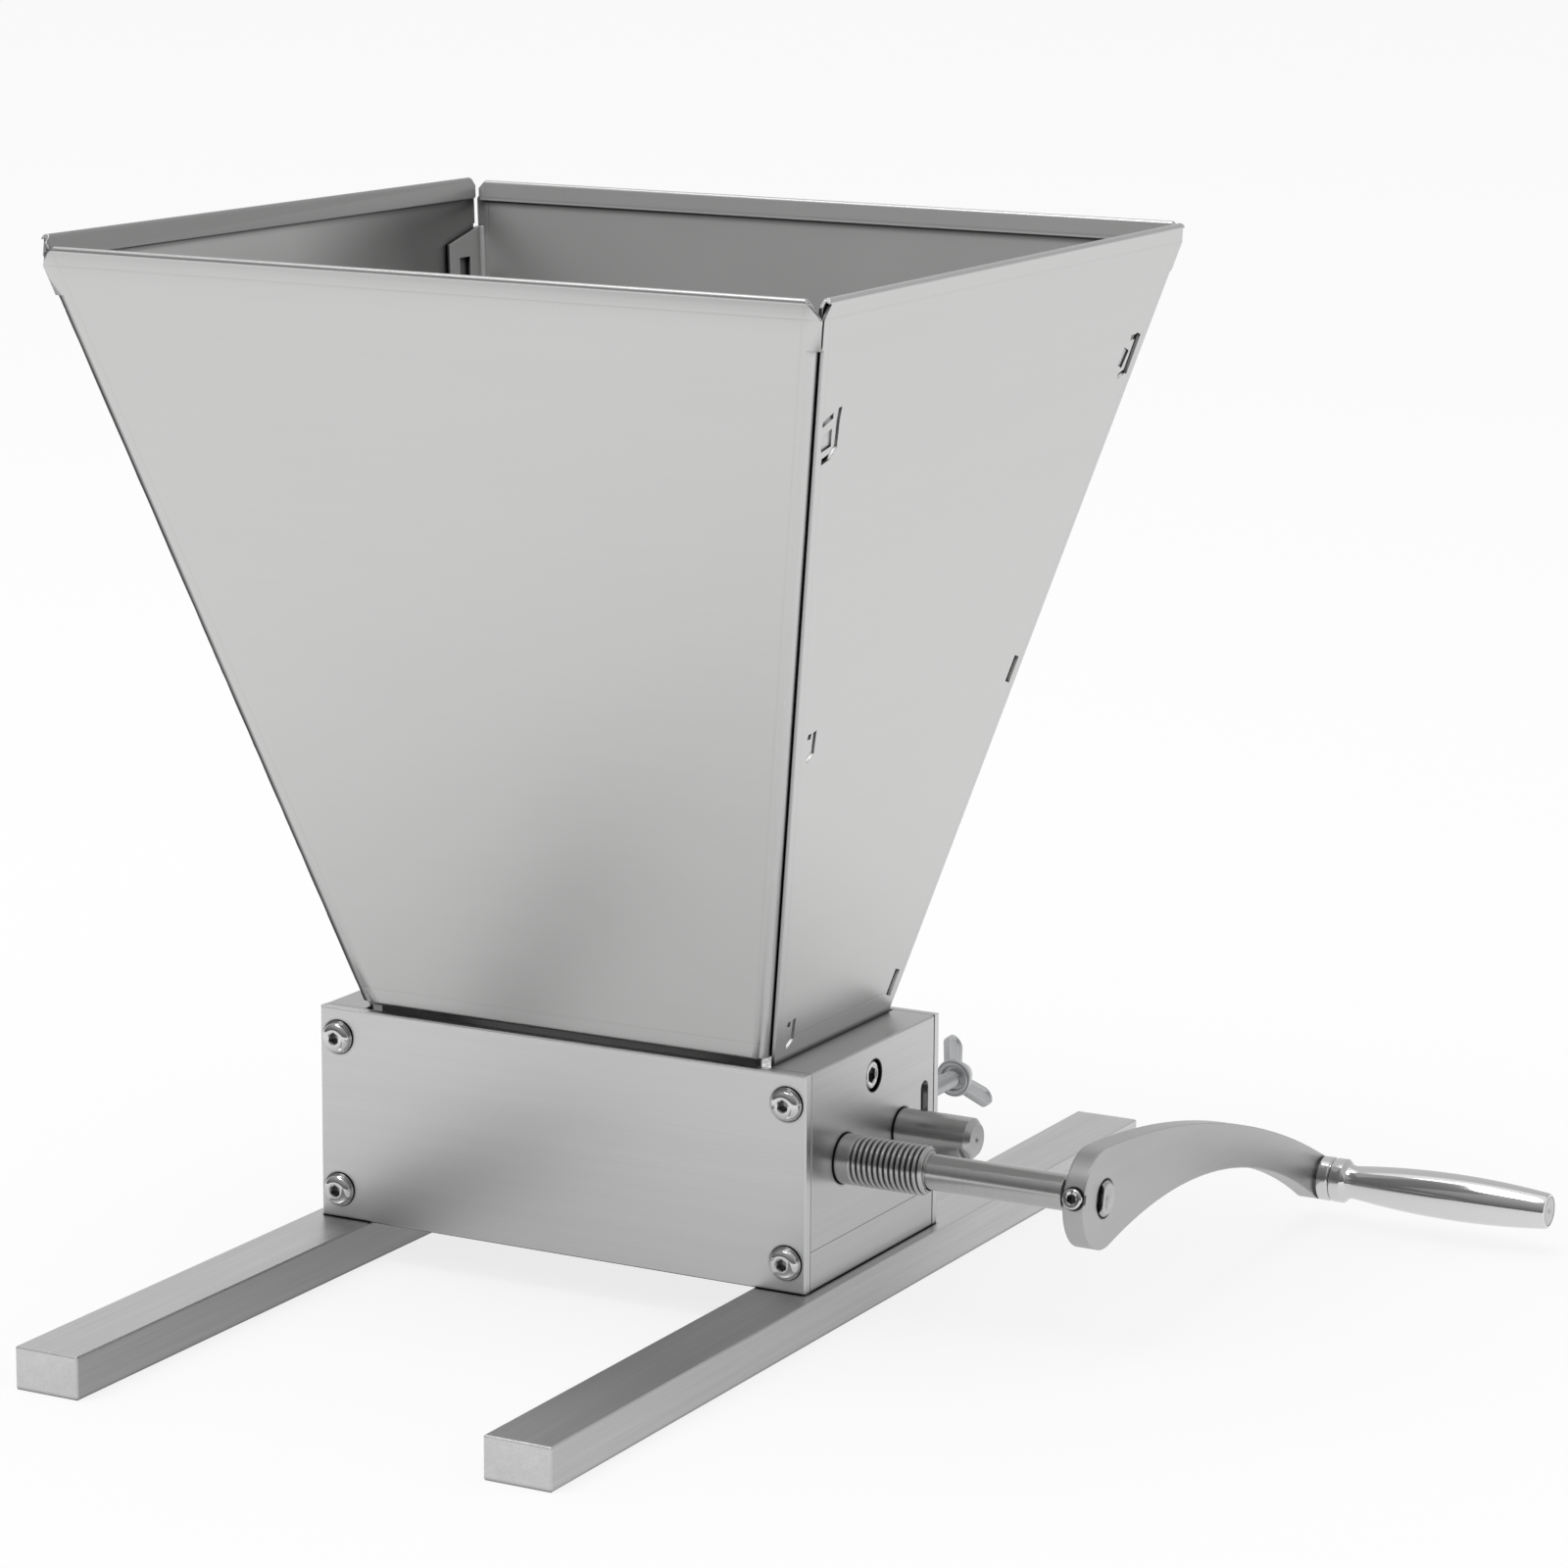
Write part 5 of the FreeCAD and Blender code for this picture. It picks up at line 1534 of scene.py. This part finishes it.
    def belly(self, along: float, length: float) -> float:
        """Radius of the grip behind its neck.

        Args:
            along: Distance from the grip's start.
            length: Length of the grip.

        Returns:
            The radius on a curve through the neck, the belly and the end.
        """
        knots = ((self.neck_at, self.neck_radius), (self.belly_at, self.belly_radius),
                 (length - self.grip_round, self.end_radius))
        radius = 0.0
        for at, value in knots:
            share = value
            for other, _ in knots:
                if other != at:
                    share *= (along - other) / (at - other)
            radius += share
        return radius

    def plug(self) -> None:
        """Make the plug in the grip's end, with its centre mark."""
        low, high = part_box("grip_end_plug")
        self.handle_piece("grip_end_disc", Body.GRIP, FINISHES.shaft, "grip_end_plug", [
            (low.x, 0.0), (low.x, self.plug_radius), (high.x - self.plug_bevel[0], self.plug_radius),
            (high.x, self.plug_radius - self.plug_bevel[1]), (high.x, self.mark_radius),
            (high.x - self.mark_depth, 0.0)])

    @staticmethod
    def handle_piece(name: str, body: Body, finish: Metal, node: str,
                     outline: list[tuple[float, float]]) -> None:
        """Make a turned piece on the handle's axis.

        Args:
            name: Piece name.
            body: Body that it rides on.
            finish: Its metal.
            node: CAD node that it replaces.
            outline: Points of (distance along X, radius).
        """
        shape = bmesh.new()
        spin_outline(shape, outline)
        axis = joint_place("grip_spin")
        bmesh.ops.translate(shape, verts=shape.verts, vec=(0, axis.y, axis.z))
        Piece(name, body, finish, (node,)).make(shape)


@dataclass
class WingScrews:
    """Cast wing screws that lock the gap shaft."""

    shank_radius: float = 2.5 * MM
    pitch: float = 0.8 * MM
    thread_depth: float = 0.35 * MM
    hub_radius: float = 5.5 * MM
    hub_start: float = 61.0 * MM
    hub_length: float = 7.0 * MM
    hub_outline: tuple[tuple[float, float], ...] = (
        (1.1, 2.15), (1.1, 3.4), (0.15, 3.7), (0.0, 3.95), (0.0, 4.45), (0.15, 4.7), (0.55, 4.8),
        (0.55, 4.95), (0.25, 5.1), (0.25, 5.3), (0.5, 5.5), (1.3, 5.5), (2.0, 5.3), (3.2, 4.7),
        (4.4, 4.1), (5.6, 3.6), (6.6, 3.2), (7.0, 2.7), (7.0, 0.0))
    root_radius: float = 2.6 * MM
    tip_radius: float = 2.9 * MM
    reach: float = 11.5 * MM
    lean: float = 6.5 * MM
    thick: float = 2.6 * MM
    tip_bevel: tuple[float, float] = (0.4 * MM, 0.3 * MM)
    round_segments: int = 28
    insets: tuple[tuple[float, float], ...] = ((0.6 * MM, 0.0), (0.4 * MM, -0.8 * MM))
    edge_bevel: float = 0.45 * MM
    turn: float = math.radians(125.0)

    def build(self) -> None:
        """Make both wing screws."""
        for side, body in (("left", Body.WING_LEFT), ("right", Body.WING_RIGHT)):
            self.wing_screw(side, body)

    def wing_screw(self, side: str, body: Body) -> None:
        """Make one wing screw.

        Args:
            side: Side of the mill.
            body: Body that it rides on.
        """
        node = f"wing_screw_{side}"
        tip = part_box(node)[0].y
        hub = self.hub_start
        core = self.shank_radius - self.thread_depth
        thread = tip + self.tip_bevel[0]
        shape = bmesh.new()
        spin_outline(shape, [
            (tip, 0.0), (tip, core - self.tip_bevel[1]), (thread, core),
            *((hub + along * MM, radius * MM) for along, radius in self.hub_outline)], SCREW_SEGMENTS)
        wind_thread(shape, thread, hub, core, self.shank_radius, self.pitch, SCREW_SEGMENTS // 2)
        for start in (self.turn, self.turn + math.pi):
            self.wing(shape, start)
        turned = Matrix.Rotation(math.pi / 2, 4, "Z")
        bmesh.ops.transform(shape, matrix=turned, verts=shape.verts)
        axis = joint_place(f"wing_{side}_turn")
        bmesh.ops.translate(shape, verts=shape.verts, vec=(axis.x, 0, axis.z))
        Piece(f"cast_wing_screw_{side}", body, FINISHES.zinc, (node,)).make(shape)

    def wing(self, shape: Shape, turn: float) -> None:
        """Add one wing, made along the X axis.

        Args:
            shape: Mesh that takes it.
            turn: Its direction about the axis, from +X of the mill towards +Z.
        """
        middle = self.hub_start + self.hub_length / 2
        root = Vector((middle, self.hub_radius - self.root_radius, 0))
        tip = Vector((middle + self.lean, self.reach - self.tip_radius, 0))
        wing = bmesh.new()
        for centre, radius in ((root, self.root_radius), (tip, self.tip_radius)):
            for level in (-self.thick / 2, self.thick / 2):
                bmesh.ops.create_circle(
                    wing, cap_ends=False, radius=radius, segments=self.round_segments,
                    matrix=Matrix.Translation(centre + Vector((0, 0, level))))
        bmesh.ops.convex_hull(wing, input=wing.verts)
        bmesh.ops.dissolve_limit(wing, angle_limit=math.radians(1), verts=wing.verts, edges=wing.edges)
        faces = [face for face in wing.faces if abs(face.normal.z) > 0.9]
        for thickness, depth in self.insets:
            bmesh.ops.inset_region(wing, faces=faces, thickness=thickness, depth=depth, use_even_offset=True)
        outline = [edge for edge in wing.edges
                   if len(edge.link_faces) == 2 and edge.calc_face_angle() > math.radians(60)]
        bmesh.ops.bevel(
            wing, geom=outline, offset=self.edge_bevel, offset_type="OFFSET", affect="EDGES", segments=3,
            profile=0.5, material=-1, clamp_overlap=True)
        bmesh.ops.transform(wing, matrix=Matrix.Rotation(math.pi - turn, 4, "X"), verts=wing.verts)
        add_shape(shape, wing)


@dataclass(frozen=True)
class Screen:
    """Half round glowing screen about the mill, which only its metal shows, as a painted reflection.

    Attributes:
        name: The screen's name.
        start: Direction of its right end, from +X towards +Y.
        rise: Direction in which its shade changes.
        shades: Shade where the direction's share is 0, and where it is 1.
        radius: Its distance from the mill.
        height: Angle up to its upper edge.
        rows: Faces up to there.
        steps: Faces round it.
    """

    name: str
    start: float
    rise: tuple[float, float, float]
    shades: tuple[float, float]
    radius: float = 3.0
    height: float = math.radians(62)
    rows: int = 12
    steps: int = 48

    def outline(self) -> list[tuple[float, float, float]]:
        """Points from the screen's foot to its upper edge, over the X axis."""
        turns = [self.height * row / self.rows for row in range(self.rows + 1)]
        return [(self.radius * math.cos(turn), 0.0, self.radius * math.sin(turn)) for turn in turns]


@dataclass
class Studio:
    """Pale floor, soft light, glowing screens that paint the metal's reflections, and the camera."""

    floor_size: float = 14.0
    floor_shade: float = 0.9
    floor_seen: float = 0.8
    floor_mirrored: float = 0.88
    # Glow of the floor in reflections, and the painted shade that dims it near the mill from glow_start to
    # glow_end.
    glow_in_painted_shade: float = 0.62
    glow_start: float = 0.06
    glow_end: float = 0.31
    world_light: float = 0.8
    lamp_place: tuple[float, float, float] = (-0.6, -0.7, 3.0)
    lamp_size: float = 1.8
    lamp_power: float = 34.0
    screens: tuple[Screen, ...] = (
        Screen("front_screen", math.radians(-190), (0.0, 0.0, 1.0), (0.10, 0.52)),
        Screen("back_screen", math.radians(-10), (0.5, 0.0, 0.2), (0.63, 0.46)))
    eye: tuple[float, float, float] = (0.72508, -1.25384, 0.44665)
    yaw: float = math.radians(28.3185)
    pitch: float = math.radians(11.972)
    roll: float = math.radians(0.385)
    focal_length: float = 120.62
    sensor: float = 36.0
    seen_from: float = 0.05
    seen_to: float = 50.0

    def build(self) -> None:
        """Set the floor, the light, the screens and the camera."""
        self.floor()
        self.world()
        self.lamp()
        for plan in self.screens:
            self.screen(plan)
        self.camera()
        bpy.context.scene.view_settings.view_transform = "Standard"

    def floor(self) -> None:
        """Lay the pale floor, which shows white where nothing shades it."""
        material = bpy.data.materials.new("pale_floor")
        board = empty_board(material)
        matt = board.add("ShaderNodeBsdfDiffuse", {"Color": (*[self.floor_shade] * 3, 1.0)})
        # In reflections the floor glows, with painted shade that dims the glow towards the mill.
        away = board.add("ShaderNodeVectorMath", {0: board.place()}, operation="LENGTH").outputs["Value"]
        rise = board.spread(away, self.glow_in_painted_shade, 1.0, self.glow_start, self.glow_end)
        path = board.add("ShaderNodeLightPath").outputs
        strength = board.math("MAXIMUM", rise, path["Is Camera Ray"])
        glow = board.add("ShaderNodeEmission", {"Color": WHITE, "Strength": strength})
        seen = board.math("MULTIPLY", path["Is Camera Ray"], self.floor_seen)
        mirrored = board.math("MAXIMUM", path["Is Glossy Ray"], path["Is Transmission Ray"])
        share = board.math("MAXIMUM", seen, board.math("MULTIPLY", mirrored, self.floor_mirrored))
        mixed = board.add("ShaderNodeMixShader", {0: share, 1: matt.outputs[0], 2: glow.outputs[0]})
        board.add("ShaderNodeOutputMaterial", {"Surface": mixed.outputs[0]})
        shape = bmesh.new()
        bmesh.ops.create_grid(shape, x_segments=1, y_segments=1, size=self.floor_size / 2)
        make_object("floor", shape, material)

    def world(self) -> None:
        """Surround the set with white that lights it at a plain level."""
        world = bpy.data.worlds.new("studio")
        board = empty_board(world)
        path = board.add("ShaderNodeLightPath").outputs
        seen = board.math("MAXIMUM", path["Is Camera Ray"],
                          board.math("MAXIMUM", path["Is Glossy Ray"], path["Is Transmission Ray"]))
        strength = board.spread(seen, self.world_light, 1.0)
        light = board.add("ShaderNodeBackground", {"Color": WHITE, "Strength": strength})
        board.add("ShaderNodeOutputWorld", {"Surface": light.outputs[0]})
        bpy.context.scene.world = world

    def lamp(self) -> None:
        """Hang one square soft lamp over the mill."""
        light = bpy.data.lights.new("softbox", "AREA")
        light.shape = "SQUARE"
        light.size = self.lamp_size
        light.energy = self.lamp_power
        place = Vector(self.lamp_place)
        lamp = bpy.data.objects.new("softbox", light)
        lamp.matrix_world = Matrix.Translation(place) @ (-place).to_track_quat("-Z", "Y").to_matrix().to_4x4()
        bpy.context.scene.collection.objects.link(lamp)

    def screen(self, plan: Screen) -> None:
        """Stand a glowing screen that paints reflections in the metal.

        Args:
            plan: Its sizes and shades.
        """
        shape = bmesh.new()
        points = [shape.verts.new(point) for point in plan.outline()]
        edges = [shape.edges.new(pair) for pair in zip(points, points[1:])]
        bmesh.ops.rotate(shape, verts=points, cent=(0, 0, 0), matrix=Matrix.Rotation(plan.start, 3, "Z"))
        bmesh.ops.spin(
            shape, geom=[*points, *edges], cent=(0, 0, 0), axis=(0, 0, 1), dvec=(0, 0, 0), angle=math.pi,
            steps=plan.steps, use_merge=False, use_duplicate=False)
        material = bpy.data.materials.new(plan.name)
        board = empty_board(material)
        # Painted reflection: the screen glows brighter or darker along its direction of rise.
        share = board.dot(board.place(), Vector(plan.rise) / plan.radius)
        shade = board.spread(share, *plan.shades, clamp=False)
        glow = board.add("ShaderNodeEmission", {"Color": WHITE, "Strength": shade})
        board.add("ShaderNodeOutputMaterial", {"Surface": glow.outputs[0]})
        screen = make_object(plan.name, shape, material)
        screen.visible_camera = False
        screen.visible_shadow = False
        screen.visible_diffuse = False

    def camera(self) -> None:
        """Set the camera where the photograph was taken from."""
        forward = Vector((
            -math.sin(self.yaw) * math.cos(self.pitch), math.cos(self.yaw) * math.cos(self.pitch),
            -math.sin(self.pitch)))
        level = Vector((math.cos(self.yaw), math.sin(self.yaw), 0.0))
        upward = level.cross(forward)
        right = level * math.cos(self.roll) + upward * math.sin(self.roll)
        upright = upward * math.cos(self.roll) - level * math.sin(self.roll)
        camera = bpy.data.cameras.new("camera")
        camera.lens = self.focal_length
        camera.sensor_width = self.sensor
        camera.clip_start = self.seen_from
        camera.clip_end = self.seen_to
        eye = bpy.data.objects.new("camera", camera)
        turn = Matrix((right, upright, -forward)).transposed().to_4x4()
        eye.matrix_world = Matrix.Translation(Vector(self.eye)) @ turn
        bpy.context.scene.collection.objects.link(eye)
        bpy.context.scene.camera = eye


def clear_start_objects() -> None:
    """Remove whatever the empty scene held that isn't part of the model."""
    kept = {*frame["bodies"].values(), *frame["nodes"].values()}
    for item in [item for item in bpy.data.objects if item not in kept]:
        bpy.data.objects.remove(item)


def main() -> None:
    """Build the mill's looks in order."""
    logging.basicConfig(level=logging.INFO, format="%(name)s %(message)s")
    clear_start_objects()
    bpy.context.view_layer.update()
    for assembly in (MillBody(), Hopper(), RollerGear(), Crank(), WingScrews(), Studio()):
        log.info("building %s", type(assembly).__name__)
        assembly.build()


if __name__ == "__main__":
    main()
